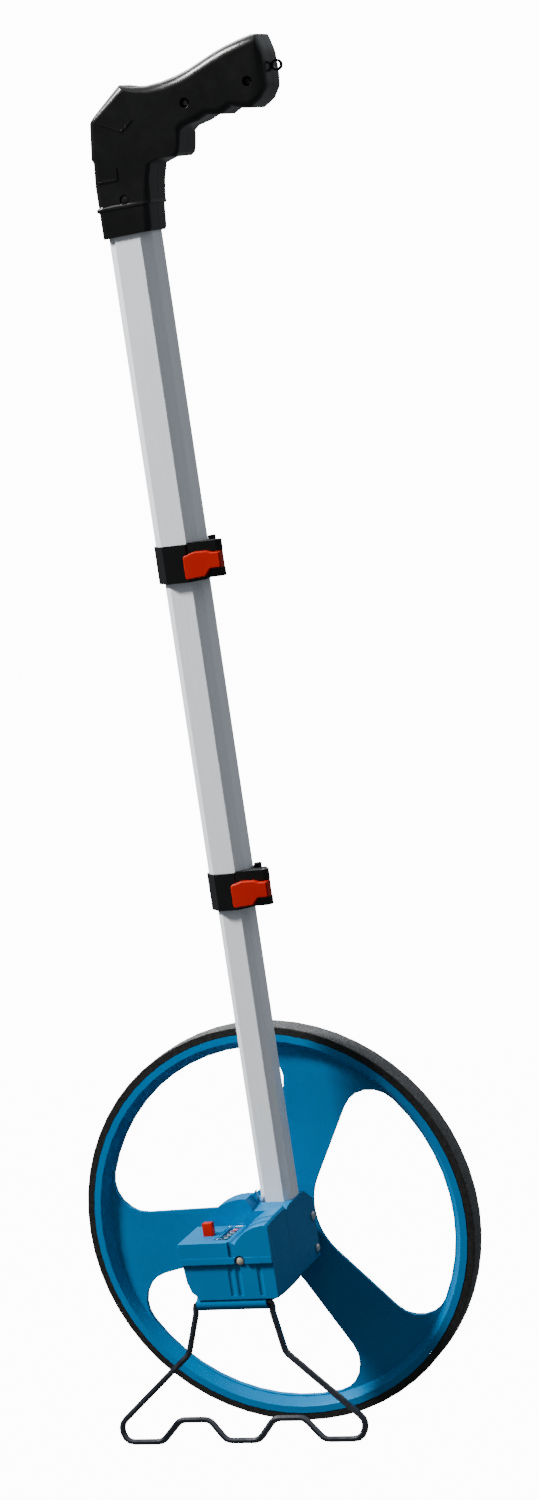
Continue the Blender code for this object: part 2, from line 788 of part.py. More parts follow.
def build_drums(looks):
    bore = COUNTER_SHAFT_RADIUS + GAP
    for i, name in enumerate(DRUM_NAMES):
        back = DRUM_FIRST_Y - i * DRUM_PITCH
        front = back - DRUM_WIDTH
        rim = DRUM_RADIUS - DRUM_RIM
        profile = [
            (bore, front + DRUM_RECESS),
            (rim, front + DRUM_RECESS),
            (rim, front),
            (DRUM_RADIUS, front),
            (DRUM_RADIUS, back),
            (bore, back),
        ]
        body = "counter_drive" if i == 0 else f"{name}_axis"
        if i:
            add_body(body, "frame", (COUNTER_X, back, COUNTER_Z))
        drum = turned(profile, "Y", (COUNTER_X, COUNTER_Z), DRUM_STEPS)
        add_piece(name, body, drum, looks["red" if i == 0 else "drum"])


def build_counter_frame(looks):
    """A folded U that carries the drums' shaft and stands against the gear plate."""
    floor_top = COUNTER_Z - DRUM_RADIUS - GAP
    floor = floor_top - FRAME_PLATE
    left, right = COUNTER_X - FRAME_HALF_WIDTH, COUNTER_X + FRAME_HALF_WIDTH
    frame = add_piece(
        "counter_frame",
        "frame",
        block((left, FRAME_FRONT_Y, floor), (right, FRAME_BACK_Y, floor_top)),
        looks["steel"],
    )
    for low_y in (FRAME_FRONT_Y, FRAME_BACK_Y - FRAME_PLATE):
        low = (COUNTER_X - FRAME_EAR_HALF_WIDTH, low_y, floor + SINK)
        high = (COUNTER_X + FRAME_EAR_HALF_WIDTH, low_y + FRAME_PLATE, FRAME_EAR_TOP)
        fuse(frame, "frame", block(low, high))
    centre = (COUNTER_X, COUNTER_Z)
    front_hole = (FRAME_FRONT_Y - OVERRUN, DRUMS_END_Y + OVERRUN)
    cut(frame, "frame", rod("Y", centre, COUNTER_SHAFT_RADIUS + GAP, *front_hole, SMALL_STEPS))
    back_hole = (DRUM_FIRST_Y - OVERRUN, FRAME_BACK_Y + OVERRUN)
    cut(frame, "frame", rod("Y", centre, SLEEVE_RADIUS + RUNNING_GAP, *back_hole, SMALL_STEPS))

    shaft_back = CHAMBER_Y + COUNTER_SHAFT_RADIUS
    shaft = rod("Y", centre, COUNTER_SHAFT_RADIUS, FRAME_FRONT_Y, shaft_back, SMALL_STEPS)
    add_piece("counter_shaft", "frame", shaft, looks["steel"])


# Housing

def plate_boss():
    """The boss behind the gear plate that the cover screw bites into, clear of the drive gear."""
    centre = (COVER_SCREW_X, COVER_SCREW_Z)
    radius = TUBE_SCREW_RADIUS + PLATE_BOSS_WALL
    return rod("Y", centre, radius, PLATE_FRONT_Y + GAP, GEAR_Y + GEAR_WIDTH, SMALL_STEPS)


def build_gear_case(looks):
    outline = chord_disc(DISC_RADIUS, CASE_RIGHT - GAP, DISC_STEPS)
    disc = prism(outline, "Y", CASE_PART_Y, DISC_BACK_Y)
    soften(disc, DISC_EDGE, lambda co: co.y > DISC_BACK_Y - GAP and co.x < CASE_RIGHT - SINK)
    case = add_piece("gear_case", "frame", disc, looks["blue"])

    side = [(SOCKET_LEFT, CASE_BOTTOM), (CASE_RIGHT, CASE_BOTTOM)]
    side += [(CASE_RIGHT, SOCKET_TOP), (SOCKET_LEFT, SOCKET_TOP)]
    tower = prism(rounded(side, CASE_EDGE), "Y", CASE_PART_Y, CASE_BACK_Y)
    barrel = chord_disc(AXLE_BARREL_RADIUS, CASE_RIGHT, AXLE_BARREL_STEPS)
    fuse(case, "frame", tower, prism(barrel, "Y", DISC_BACK_Y - DISC_EDGE - SINK, CASE_BACK_Y))

    tube_left = TUBE_X - LOWER_ACROSS / 2 - RUNNING_GAP
    front, back = CASE_PART_Y - OVERRUN, CASE_BACK_Y + OVERRUN
    above = DISC_RADIUS + OVERRUN
    seat_front = TUBE_Y - LOWER_ACROSS / 2 - SOCKET_LEDGE
    seat_back = TUBE_Y + LOWER_ACROSS / 2 + SINK
    over = [(front, SOCKET_FRONT_TOP), (seat_front, SOCKET_TOP), (back, SOCKET_TOP)]
    over += [(back, above), (front, above)]
    cut(case, "frame", prism(over, "X", tube_left, CASE_RIGHT + OVERRUN))
    behind = [(seat_back, SOCKET_TOP), (CASE_BACK_Y, BACK_TOP), (back, BACK_TOP)]
    behind += [(back, above), (seat_back, above)]
    cut(case, "frame", prism(behind, "X", -DISC_RADIUS, CASE_RIGHT + OVERRUN))
    fin_back = DISC_BACK_Y - DISC_EDGE
    fin_front = fin_back - FIN_THICKNESS
    slope = [(tube_left - SOCKET_SLOPE, above), (tube_left + SINK, SOCKET_FRONT_TOP)]
    slope += [(tube_left + SINK, above)]
    cut(case, "frame", prism(slope, "Y", front, fin_front))
    foot = DISC_RADIUS - 2 * OVERRUN
    fin = [(tube_left - FIN_WIDTH, foot), (tube_left, foot), (tube_left, DISC_RADIUS + FIN_HEIGHT)]
    fuse(case, "frame", prism(fin, "Y", fin_front, fin_back))

    seat = box_outline(PLATE_BOX, PLATE_CORNER, GAP)
    chamber = box_outline(CHAMBER_BOX, PLATE_CORNER, 0)
    cut(case, "frame", prism(seat, "Y", CASE_PART_Y - OVERRUN, PLATE_SEAT_Y))
    cut(case, "frame", prism(chamber, "Y", PLATE_SEAT_Y - OVERRUN, CHAMBER_Y))
    bearing_back = FRONT_BEARING_Y + BEARING_WIDTH + GAP
    cut(case, "frame", rod("Y", (0, 0), BEARING_RADIUS + GAP, CHAMBER_Y - OVERRUN, bearing_back))
    shaft_hole = (CHAMBER_Y - OVERRUN, CHAMBER_Y + COUNTER_SHAFT_RADIUS + GAP)
    counter = (COUNTER_X, COUNTER_Z)
    cut(case, "frame", rod("Y", counter, COUNTER_SHAFT_RADIUS + GAP, *shaft_hole, SMALL_STEPS))

    pocket = carrier_outline(GAP)
    cut(case, "frame", prism(pocket, "Y", CARRIER_FRONT_Y - GAP, CASE_BACK_Y + OVERRUN))
    bore_ends = (bearing_back - OVERRUN, CARRIER_FRONT_Y + OVERRUN)
    cut(case, "frame", rod("Y", (0, 0), BORE_RADIUS, *bore_ends))
    socket = inside_outline(LOWER_ACROSS, -GAP)
    cut(case, "frame", prism(socket, "Z", LOWER_BOTTOM - GAP, SOCKET_TOP + OVERRUN))

    centre = (TUBE_X, TUBE_SCREW_Z)
    seat_y = CARRIER_FRONT_Y - GAP - TUBE_SCREW_HEAD_DEPTH - GAP
    head = rod("Y", centre, TUBE_SCREW_HEAD + GAP, seat_y, CARRIER_FRONT_Y, SMALL_STEPS)
    cut(case, "frame", head)
    tip = TUBE_Y - LOWER_ACROSS / 2 - 2 * GAP
    cut(case, "frame", rod("Y", centre, TUBE_SCREW_RADIUS + GAP, tip, seat_y + GAP, SMALL_STEPS))
    for _, z in SIDE_SCREW_PLACES:
        hole = (CARRIER_LEFT, CASE_RIGHT + OVERRUN)
        wall = rod("X", (SIDE_SCREW_Y, z), SIDE_SCREW_RADIUS + GAP, *hole, SMALL_STEPS)
        cut(case, "frame", wall)
    for _, x, z in PLATE_SCREW_PLACES:
        hole = (PLATE_SEAT_Y - OVERRUN, PLATE_SEAT_Y + PLATE_SCREW_LENGTH)
        cut(case, "frame", rod("Y", (x, z), PLATE_SCREW_RADIUS + GAP, *hole, SMALL_STEPS))


def box_outline(box, corner, clearance):
    """A rectangle with round corners, larger by the clearance all round."""
    left, low, right, high = box
    left, right = left - clearance, right + clearance
    low, high = low - clearance, high + clearance
    return rounded([(left, low), (right, low), (right, high), (left, high)], corner)


def carrier_outline(clearance):
    right = CASE_RIGHT - CASE_WALL - GAP
    box = (CARRIER_LEFT, -CARRIER_HALF_HEIGHT, right, CARRIER_HALF_HEIGHT)
    return box_outline(box, CARRIER_CORNER, clearance)


def build_axle_carrier(looks):
    """The plate that closes the back of the case and holds the rear bearing."""
    plate = prism(carrier_outline(0), "Y", CARRIER_BACK_Y - CARRIER_PLATE, CARRIER_BACK_Y)
    carrier = add_piece("axle_carrier", "frame", plate, looks["black"])
    boss = rod("Y", (0, 0), CARRIER_BOSS_RADIUS, CARRIER_FRONT_Y, CARRIER_BACK_Y - SINK)
    fuse(carrier, "frame", boss)
    right = CASE_RIGHT - CASE_WALL - GAP
    half = CARRIER_HALF_HEIGHT - CARRIER_CORNER
    low = (right - CARRIER_LUG, CARRIER_FRONT_Y, -half)
    fuse(carrier, "frame", block(low, (right, CARRIER_BACK_Y - SINK, half)))
    seat = (REAR_BEARING_Y - GAP, CARRIER_BACK_Y + OVERRUN)
    cut(carrier, "frame", rod("Y", (0, 0), BEARING_RADIUS + GAP, *seat))
    bore = (CARRIER_FRONT_Y - OVERRUN, REAR_BEARING_Y)
    cut(carrier, "frame", rod("Y", (0, 0), BORE_RADIUS, *bore))
    for name, z in SIDE_SCREW_PLACES:
        centre = (SIDE_SCREW_Y, z)
        hole = (CASE_RIGHT - SIDE_SCREW_LENGTH - GAP, CASE_RIGHT)
        cut(carrier, "frame", rod("X", centre, SIDE_SCREW_RADIUS + GAP, *hole, SMALL_STEPS))
        seat_x = CASE_RIGHT + GAP
        profile = [
            (0, CASE_RIGHT - SIDE_SCREW_LENGTH),
            (SIDE_SCREW_RADIUS, CASE_RIGHT - SIDE_SCREW_LENGTH),
            (SIDE_SCREW_RADIUS, seat_x),
            (SIDE_SCREW_HEAD, seat_x),
        ]
        for a, b in SIDE_SCREW_SHARES:
            profile.append((SIDE_SCREW_HEAD * a, seat_x + SIDE_SCREW_DOME * b))
        profile.append((0, seat_x + SIDE_SCREW_DOME))
        add_piece(name, "frame", turned(profile, "X", centre, SMALL_STEPS), looks["steel"])


def build_gear_plate(looks):
    outline = box_outline(PLATE_BOX, PLATE_CORNER, 0)
    back = PLATE_FRONT_Y + PLATE_THICKNESS
    plate = add_piece("gear_plate", "frame", prism(outline, "Y", PLATE_FRONT_Y, back), looks["black"])
    fuse(plate, "frame", plate_boss())
    through = (PLATE_FRONT_Y - OVERRUN, back + OVERRUN)
    counter = (COUNTER_X, COUNTER_Z)
    cut(plate, "frame", rod("Y", counter, SLEEVE_RADIUS + RUNNING_GAP, *through, SMALL_STEPS))
    screw = (COVER_SCREW_X, COVER_SCREW_Z)
    deep = (PLATE_FRONT_Y - OVERRUN, GEAR_Y + GEAR_WIDTH + OVERRUN)
    cut(plate, "frame", rod("Y", screw, TUBE_SCREW_RADIUS + GAP, *deep, SMALL_STEPS))
    for name, *place in PLATE_SCREW_PLACES:
        cut(plate, "frame", rod("Y", place, PLATE_SCREW_RADIUS + GAP, *through, SMALL_STEPS))
        seat = PLATE_FRONT_Y - GAP
        profile = [
            (0, seat - PLATE_SCREW_CAP),
            (PLATE_SCREW_HEAD, seat - PLATE_SCREW_CAP),
            (PLATE_SCREW_HEAD, seat),
            (PLATE_SCREW_RADIUS, seat),
            (PLATE_SCREW_RADIUS, PLATE_SEAT_Y + PLATE_SCREW_LENGTH - GAP),
            (0, PLATE_SEAT_Y + PLATE_SCREW_LENGTH - GAP),
        ]
        add_piece(name, "frame", turned(profile, "Y", place, SMALL_STEPS), looks["steel"])


def arch_points(inset):
    """The rounded hood over the right side of the counter case, from the groove to the top."""
    radius = ARCH_RADIUS - inset
    centre = (CASE_RIGHT - CASE_EDGE, ARCH_TOP - ARCH_RADIUS)
    start = math.pi - math.asin((ARCH_START_Z - inset - centre[1]) / radius)
    return arc(centre, radius, start, math.pi / 2, ARCH_STEPS)


def hood_outline(rise):
    """The hood alone, one small step larger than at the front."""
    points = arch_points(-rise)
    floor = LEDGE_Z + SINK
    left = points[0][0]
    return points + [(CASE_RIGHT, ARCH_TOP + rise - CASE_EDGE), (CASE_RIGHT, floor), (left, floor)]


def upper_case_outline(inset, low):
    left, right, top = CASE_LEFT + inset, CASE_RIGHT - inset, CASE_TOP - inset
    corner = rounded([(left, low), (left, top), (GROOVE_LEFT, top)], CASE_CORNER, closed=False)
    points = corner + [(GROOVE_FLOOR_LEFT, ARCH_START_Z - inset)] + arch_points(inset)
    return points + [(right, ARCH_TOP - inset - CASE_EDGE), (right, low)]


def lower_case_outline(inset):
    left = CASE_LEFT + inset
    points = []
    for x, z in LOWER_SIDE_SHARES:
        height = z * -CASE_BOTTOM if z < 0 else LEDGE_Z + SINK
        points.append((left * x, max(height, CASE_BOTTOM + inset)))
    right = CASE_RIGHT - inset
    return points + [(right, CASE_BOTTOM + inset), (right, LEDGE_Z + SINK)]


def dress_case_front(case):
    """The raised band over the ledge, the groove beside the hood and the flutes under the ledge."""
    band_top = LEDGE_Z + LEDGE_BAND
    low = (CASE_LEFT - OVERRUN, FRONT_Y - OVERRUN, band_top)
    high = (CASE_RIGHT + OVERRUN, FRONT_Y + BAND_STEP, ARCH_TOP + OVERRUN)
    cut(case, "frame", block(low, high))
    low = (0, FRONT_Y - OVERRUN, band_top)
    high = (FRONT_GROOVE_RIGHT, FRONT_Y + FRONT_GROOVE_DEPTH, CASE_TOP + OVERRUN)
    cut(case, "frame", block(low, high))
    depth = FRONT_Y + LOWER_SETBACK + FLUTE_DEPTH - FLUTE_RADIUS
    for x in FLUTE_PLACES:
        flute = rod("Z", (x, depth), FLUTE_RADIUS, FLUTE_BOTTOM, LEDGE_Z - GAP, RECESS_STEPS)
        cut(case, "frame", flute)


def build_counter_case(looks):
    upper = prism(upper_case_outline(0, LEDGE_Z), "Y", FRONT_Y, CASE_SPLIT_Y)
    soften(upper, FRONT_EDGE, lambda co: co.y < FRONT_Y + GAP and co.z > LEDGE_Z + GAP, 1)
    case = add_piece("counter_case", "frame", upper, looks["blue"])
    lower = prism(lower_case_outline(0), "Y", FRONT_Y + LOWER_SETBACK, CASE_SPLIT_Y)
    fuse(case, "frame", lower)
    for start, rise in HOOD_STEPS:
        fuse(case, "frame", prism(hood_outline(rise), "Y", start, CASE_SPLIT_Y))
    dress_case_front(case)

    axis = (HINGE_Y, HINGE_Z)
    left, right = STAND_X - BARREL_HALF, STAND_X + BARREL_HALF
    web = block(
        (left, HINGE_Y - BARREL_WEB_HALF, HINGE_Z),
        (right, HINGE_Y + BARREL_WEB_HALF, CASE_BOTTOM + SINK),
    )
    fuse(case, "frame", web)
    fuse(case, "frame", rod("X", axis, BARREL_RADIUS, left, right, BARREL_STEPS))
    ends = (left - OVERRUN, right + OVERRUN)
    cut(case, "frame", rod("X", axis, WIRE_RADIUS + GAP, *ends, SMALL_STEPS))

    inside_top = upper_case_outline(CASE_WALL, LEDGE_Z)
    cavity_back = CASE_SPLIT_Y + OVERRUN
    cut(case, "frame", prism(inside_top, "Y", CAVITY_FRONT_Y, cavity_back))
    cut(case, "frame", prism(lower_case_outline(CASE_WALL), "Y", CAVITY_FRONT_Y, cavity_back))

    screw = (COVER_SCREW_X, COVER_SCREW_Z)
    boss_radius = TUBE_SCREW_RADIUS + COVER_BOSS_WALL
    boss = rod("Y", screw, boss_radius, CAVITY_FRONT_Y - SINK, CASE_SPLIT_Y, SMALL_STEPS)
    fuse(case, "frame", boss)
    recess_end = FRONT_Y + COVER_RECESS_DEPTH
    recess = rod("Y", screw, COVER_RECESS_RADIUS, FRONT_Y - OVERRUN, recess_end, RECESS_STEPS)
    cut(case, "frame", recess)
    through = (recess_end - OVERRUN, CASE_SPLIT_Y + OVERRUN)
    cut(case, "frame", rod("Y", screw, TUBE_SCREW_RADIUS + GAP, *through, SMALL_STEPS))

    end = (DRUM_FIRST_Y - DRUMS_END_Y) * WINDOW_END_SHARE / 2
    view = block(
        (COUNTER_X - WINDOW_SIDE, DRUMS_END_Y + end, COVER_INSIDE - OVERRUN),
        (COUNTER_X + WINDOW_SIDE, DRUM_FIRST_Y - end, CASE_TOP + OVERRUN),
    )
    ledge = LENS_LEDGE + GAP
    seat = block(
        (COUNTER_X - WINDOW_SIDE - ledge, DRUMS_END_Y + end - ledge, lens_bottom() - GAP),
        (COUNTER_X + WINDOW_SIDE + ledge, DRUM_FIRST_Y - end + ledge, CASE_TOP + OVERRUN),
    )
    cut(case, "frame", view, seat)
    across = WINDOW_SIDE + LENS_LEDGE
    lens_top = CASE_TOP + LENS_PROUD
    lens = block(
        (COUNTER_X - across, DRUMS_END_Y + end - LENS_LEDGE, lens_bottom()),
        (COUNTER_X + across, DRUM_FIRST_Y - end + LENS_LEDGE, lens_top),
    )
    add_piece("counter_lens", "frame", lens, looks["lens"])

    low = (BUTTON_LEFT - GAP, BUTTON_FRONT - GAP, COVER_INSIDE - OVERRUN)
    high = (BUTTON_RIGHT + GAP, BUTTON_FRONT + BUTTON_DEPTH + GAP, CASE_TOP + OVERRUN)
    cut(case, "frame", block(low, high))
    centre = button_centre()
    floor = CASE_BOTTOM + CASE_WALL - SINK
    post = [
        (0, floor),
        (POST_RADIUS, floor),
        (POST_RADIUS, SPRING_SEAT_Z),
        (POST_PIN_RADIUS, SPRING_SEAT_Z),
        (POST_PIN_RADIUS, POST_PIN_TOP),
        (0, POST_PIN_TOP),
    ]
    fuse(case, "frame", turned(post, "Z", centre, SMALL_STEPS))

    seat_y = recess_end - GAP
    head = TUBE_SCREW_HEAD
    profile = [(0, seat_y - TUBE_SCREW_HEAD_DEPTH)]
    for a, b in COVER_SCREW_SHARES:
        profile.append((head * a, seat_y - TUBE_SCREW_HEAD_DEPTH * b))
    profile += [
        (head, seat_y),
        (TUBE_SCREW_RADIUS, seat_y),
        (TUBE_SCREW_RADIUS, GEAR_Y + GEAR_WIDTH - GAP),
        (0, GEAR_Y + GEAR_WIDTH - GAP),
    ]
    add_piece("cover_screw", "frame", turned(profile, "Y", screw, SMALL_STEPS), looks["screw"])


def lens_bottom():
    return CASE_TOP + LENS_PROUD - LENS_THICKNESS


def button_centre():
    return ((BUTTON_LEFT + BUTTON_RIGHT) / 2, BUTTON_FRONT + BUTTON_DEPTH / 2)


def build_reset_button(looks):
    stem_low = COVER_INSIDE - BUTTON_STEM
    low = (BUTTON_LEFT, BUTTON_FRONT, stem_low)
    high = (BUTTON_RIGHT, BUTTON_FRONT + BUTTON_DEPTH, BUTTON_TOP)
    body = soften(block(low, high), BUTTON_EDGE, lambda co: co.z > CASE_TOP - GAP)
    button = add_piece("reset_button", "reset_button_body", body, looks["red"])
    flange_top = COVER_INSIDE - GAP
    reach = BUTTON_FLANGE_REACH
    flange = block(
        (BUTTON_LEFT - reach, BUTTON_FRONT - reach, flange_top - BUTTON_FLANGE),
        (BUTTON_RIGHT - GAP, BUTTON_FRONT + BUTTON_DEPTH + reach, flange_top),
    )
    fuse(button, "reset_button_body", flange)

    centre = button_centre()
    bottom = SPRING_SEAT_Z + GAP + SPRING_WIRE
    top = stem_low - GAP - SPRING_WIRE
    points = []
    count = SPRING_TURNS * SPRING_TURN_POINTS
    for i in range(count + 1):
        angle = 2 * math.pi * i / SPRING_TURN_POINTS
        x = centre[0] + SPRING_RADIUS * math.cos(angle)
        y = centre[1] + SPRING_RADIUS * math.sin(angle)
        points.append((x, y, bottom + (top - bottom) * i / count))
    add_wire("reset_spring", "frame", points, SPRING_WIRE, looks["steel"], resolution=0)


# Stand

def build_stand(looks):
    half = [(STAND_SHOULDER - STAND_END, 0), (STAND_SHOULDER, 0)]
    half += [(STAND_SHOULDER, STAND_SHOULDER_SHARE * STAND_LENGTH)]
    half += [(a * STAND_HALF_WIDTH, s * STAND_LENGTH) for a, s in STAND_PATH_SHARES]
    path = half + [(-a, s) for a, s in reversed(half)]
    down = Vector((0, -math.sin(STAND_SPLAY), -math.cos(STAND_SPLAY)))
    hinge = Vector((STAND_X, HINGE_Y, HINGE_Z))
    line = rounded(path, STAND_BEND, closed=False)
    points = [hinge + Vector((t, 0, 0)) + down * s for t, s in line]
    add_wire("stand_wire", "stand", points, WIRE_RADIUS, looks["wire"])


# Tubes

def y_hole(radius, x, z):
    """A round hole right across a tube, along Y."""
    reach = UPPER_ACROSS / 2 + OVERRUN
    return rod("Y", (x, z), radius, TUBE_Y - reach, TUBE_Y + reach, SMALL_STEPS)


def build_tube(name, body, across, low, high, looks):
    shape = ring_prism(tube_outline(across), inside_outline(across, TUBE_WALL), "Z", low, high)
    return add_piece(name, body, shape, looks["tube"])


def build_bush(name, body, across, top, looks):
    """A thin guide on a tube's upper end, which keeps the next tube centred."""
    outer = inside_outline(across, -GAP - BUSH_WALL)
    lip_top = top + GAP + BUSH_LIP
    shape = prism(outer, "Z", top - BUSH_SKIRT, lip_top)
    bush = add_piece(name, body, shape, looks["black"])
    seat = inside_outline(across, -GAP)
    cut(bush, body, prism(seat, "Z", top - BUSH_SKIRT - OVERRUN, top + GAP))
    hole = inside_outline(across, BUSH_INNER)
    cut(bush, body, prism(hole, "Z", top - OVERRUN, lip_top + OVERRUN))


def build_tubes(looks):
    lower = build_tube("lower_tube", "frame", LOWER_ACROSS, LOWER_BOTTOM, LOWER_TOP, looks)
    cut(lower, "frame", y_hole(TUBE_SCREW_RADIUS + GAP, TUBE_X, TUBE_SCREW_Z))
    seat_y = CARRIER_FRONT_Y - GAP - TUBE_SCREW_HEAD_DEPTH
    profile = [
        (0, TUBE_Y - LOWER_ACROSS / 2),
        (TUBE_SCREW_RADIUS, TUBE_Y - LOWER_ACROSS / 2),
        (TUBE_SCREW_RADIUS, seat_y),
        (TUBE_SCREW_HEAD, seat_y),
        (TUBE_SCREW_HEAD, seat_y + TUBE_SCREW_HEAD_DEPTH),
        (0, seat_y + TUBE_SCREW_HEAD_DEPTH),
    ]
    screw = turned(profile, "Y", (TUBE_X, TUBE_SCREW_Z), SMALL_STEPS)
    add_piece("tube_screw", "frame", screw, looks["steel"])
    build_bush("lower_bush", "frame", LOWER_ACROSS, LOWER_TOP, looks)

    build_tube("middle_tube", "middle_section", MIDDLE_ACROSS, MIDDLE_BOTTOM, MIDDLE_TOP, looks)
    build_bush("middle_bush", "middle_section", MIDDLE_ACROSS, MIDDLE_TOP, looks)

    top = HANDLE_Z + TUBE_IN_HANDLE
    upper = build_tube("upper_tube", "upper_section", UPPER_ACROSS, UPPER_BOTTOM, top, looks)
    _, x, z = handle_screw_place(SLEEVE_SCREW_PLACE)
    cut(upper, "upper_section", y_hole(HANDLE_SCREW_RADIUS + GAP, x, z))


# Clamps

def pin_place(across):
    """Where a clamp's lever pin stands, seen from above."""
    half = across / 2 + CLAMP_WALL
    return (TUBE_X + half + PIN_REACH, TUBE_Y - half + PIN_DEPTH)


def build_clamp(side, body, lever_body, inner_across, outer_across, base, looks):
    half = outer_across / 2 + CLAMP_WALL
    top = base + CLAMP_HEIGHT
    front = TUBE_Y - half
    right = TUBE_X + half
    pin = pin_place(outer_across)
    outline = octagon(2 * half, 2 * half * CLAMP_CUT_SHARE)
    collar = add_piece(f"{side}_collar", body, prism(outline, "Z", base, top), looks["black"])

    lug_low, lug_high = base + LUG_BOTTOM, top + LUG_RISE
    lug = [(right - LUG_LEFT, front + LUG_DEPTH), (right - LUG_LEFT, front + GAP)]
    lug += arc(pin, EAR_RADIUS, -math.pi / 2, math.pi / 2, EAR_STEPS)
    fuse(collar, body, prism(lug, "Z", lug_low, lug_high))
    ear_front = TUBE_Y + REAR_EAR_START
    ear_back = ear_front + REAR_EAR_DEPTH
    low = (right - CLAMP_WALL / 2, ear_front, lug_low)
    ear = block(low, (right + REAR_EAR_REACH, ear_back, top - SINK))
    boss_place = (right + REAR_BOSS_RADIUS + SINK, (ear_front + ear_back) / 2)
    boss_ends = (top - 2 * SINK, top + REAR_BOSS_HEIGHT)
    boss = rod("Z", boss_place, REAR_BOSS_RADIUS, *boss_ends, SMALL_STEPS)
    fuse(collar, body, ear, boss)

    seat = inside_outline(outer_across, -GAP)
    throat = inside_outline(inner_across, -GAP)
    cut(collar, body, prism(seat, "Z", base + CLAMP_FLOOR, lug_high + OVERRUN))
    cut(collar, body, prism(throat, "Z", base - OVERRUN, base + CLAMP_FLOOR + OVERRUN))
    fork = block(
        (pin[0] - EAR_RADIUS - FORK_CLEARANCE, front - OVERRUN, base + FORK_LOW),
        (pin[0] + EAR_RADIUS + OVERRUN, front + LUG_DEPTH + OVERRUN, base + FORK_HIGH),
    )
    split_y = front + LUG_DEPTH
    split = block(
        (TUBE_X, split_y, base - OVERRUN),
        (right + SINK, split_y + SPLIT_WIDTH, top + REAR_BOSS_HEIGHT + OVERRUN),
    )
    pin_hole = rod("Z", pin, PIN_RADIUS + GAP, lug_low - OVERRUN, lug_high + OVERRUN, SMALL_STEPS)
    bolt_axis = (right + BOLT_REACH, base + CLAMP_HEIGHT / 2)
    bolt_front = front + LUG_DEPTH / 4
    bolt_back = ear_back + GAP
    bolt_ends = (bolt_front - GAP, ear_back + OVERRUN)
    bolt_hole = rod("Y", bolt_axis, BOLT_RADIUS + GAP, *bolt_ends, SMALL_STEPS)
    cut(collar, body, fork, split, pin_hole, bolt_hole)

    rod_shape = rod("Z", pin, PIN_RADIUS, lug_low + SINK, lug_high - GAP, SMALL_STEPS)
    add_piece(f"{side}_lever_pin", body, rod_shape, looks["steel"])
    profile = [
        (0, bolt_front),
        (BOLT_RADIUS, bolt_front),
        (BOLT_RADIUS, bolt_back),
        (BOLT_HEAD_RADIUS, bolt_back),
        (BOLT_HEAD_RADIUS, bolt_back + BOLT_HEAD),
        (0, bolt_back + BOLT_HEAD),
    ]
    bolt = turned(profile, "Y", bolt_axis, SMALL_STEPS)
    add_piece(f"{side}_clamp_bolt", body, bolt, looks["steel"])
    build_lever(side, lever_body, front, pin, base, looks)


def build_lever(side, body, front, pin, base, looks):
    """A flat lever that lies on the collar's front. Its root turns on the pin between two ears."""
    left = pin[0] + EAR_RADIUS - LEVER_LENGTH
    back = front - LEVER_LIFT
    outline = [(left + a * LEVER_LENGTH, base + b * CLAMP_HEIGHT) for a, b in LEVER_SHARES]
    outline = rounded(outline, LEVER_THICKNESS / 2, LEVER_BEND_STEPS)
    plate = prism(outline, "Y", back - LEVER_THICKNESS, back)
    soften(plate, LEVER_EDGE, lambda co: co.y < back - LEVER_THICKNESS + GAP, 1)
    lever = add_piece(f"{side}_clamp_lever", body, plate, looks["red"])
    low = base + FORK_LOW + RUNNING_GAP
    high = base + FORK_HIGH - RUNNING_GAP
    root_half = EAR_RADIUS - GAP
    root = block((pin[0] - root_half, back - SINK, low), (pin[0] + root_half, pin[1], high))
    fuse(lever, body, root, rod("Z", pin, root_half, low, high, LEVER_ROOT_STEPS))
    hole = rod("Z", pin, PIN_RADIUS + GAP, low - OVERRUN, high + OVERRUN, SMALL_STEPS)
    cut(lever, body, hole)


# Handle

def handle_point(a_share, b_share):
    """A place in the handle's outline, as shares of its reach and its height."""
    return Vector((HANDLE_AXIS_X + a_share * HANDLE_REACH, HANDLE_Z + b_share * HANDLE_HEIGHT))


# Each station is the height on the left side, the height on the right side, and how far each
# side stands out of the sleeve, in rib heights.
SLEEVE_STATION_SHARES = (
    (0.000, 0.013, 0.0, -0.6),
    (0.133, 0.030, 0.0, 0.0),
    (0.146, 0.160, 0.0, 0.6),
    (0.156, 0.168, 1.0, 1.5),
    (0.169, 0.178, 1.0, 1.5),
    (0.180, 0.190, 0.0, 1.4),
)

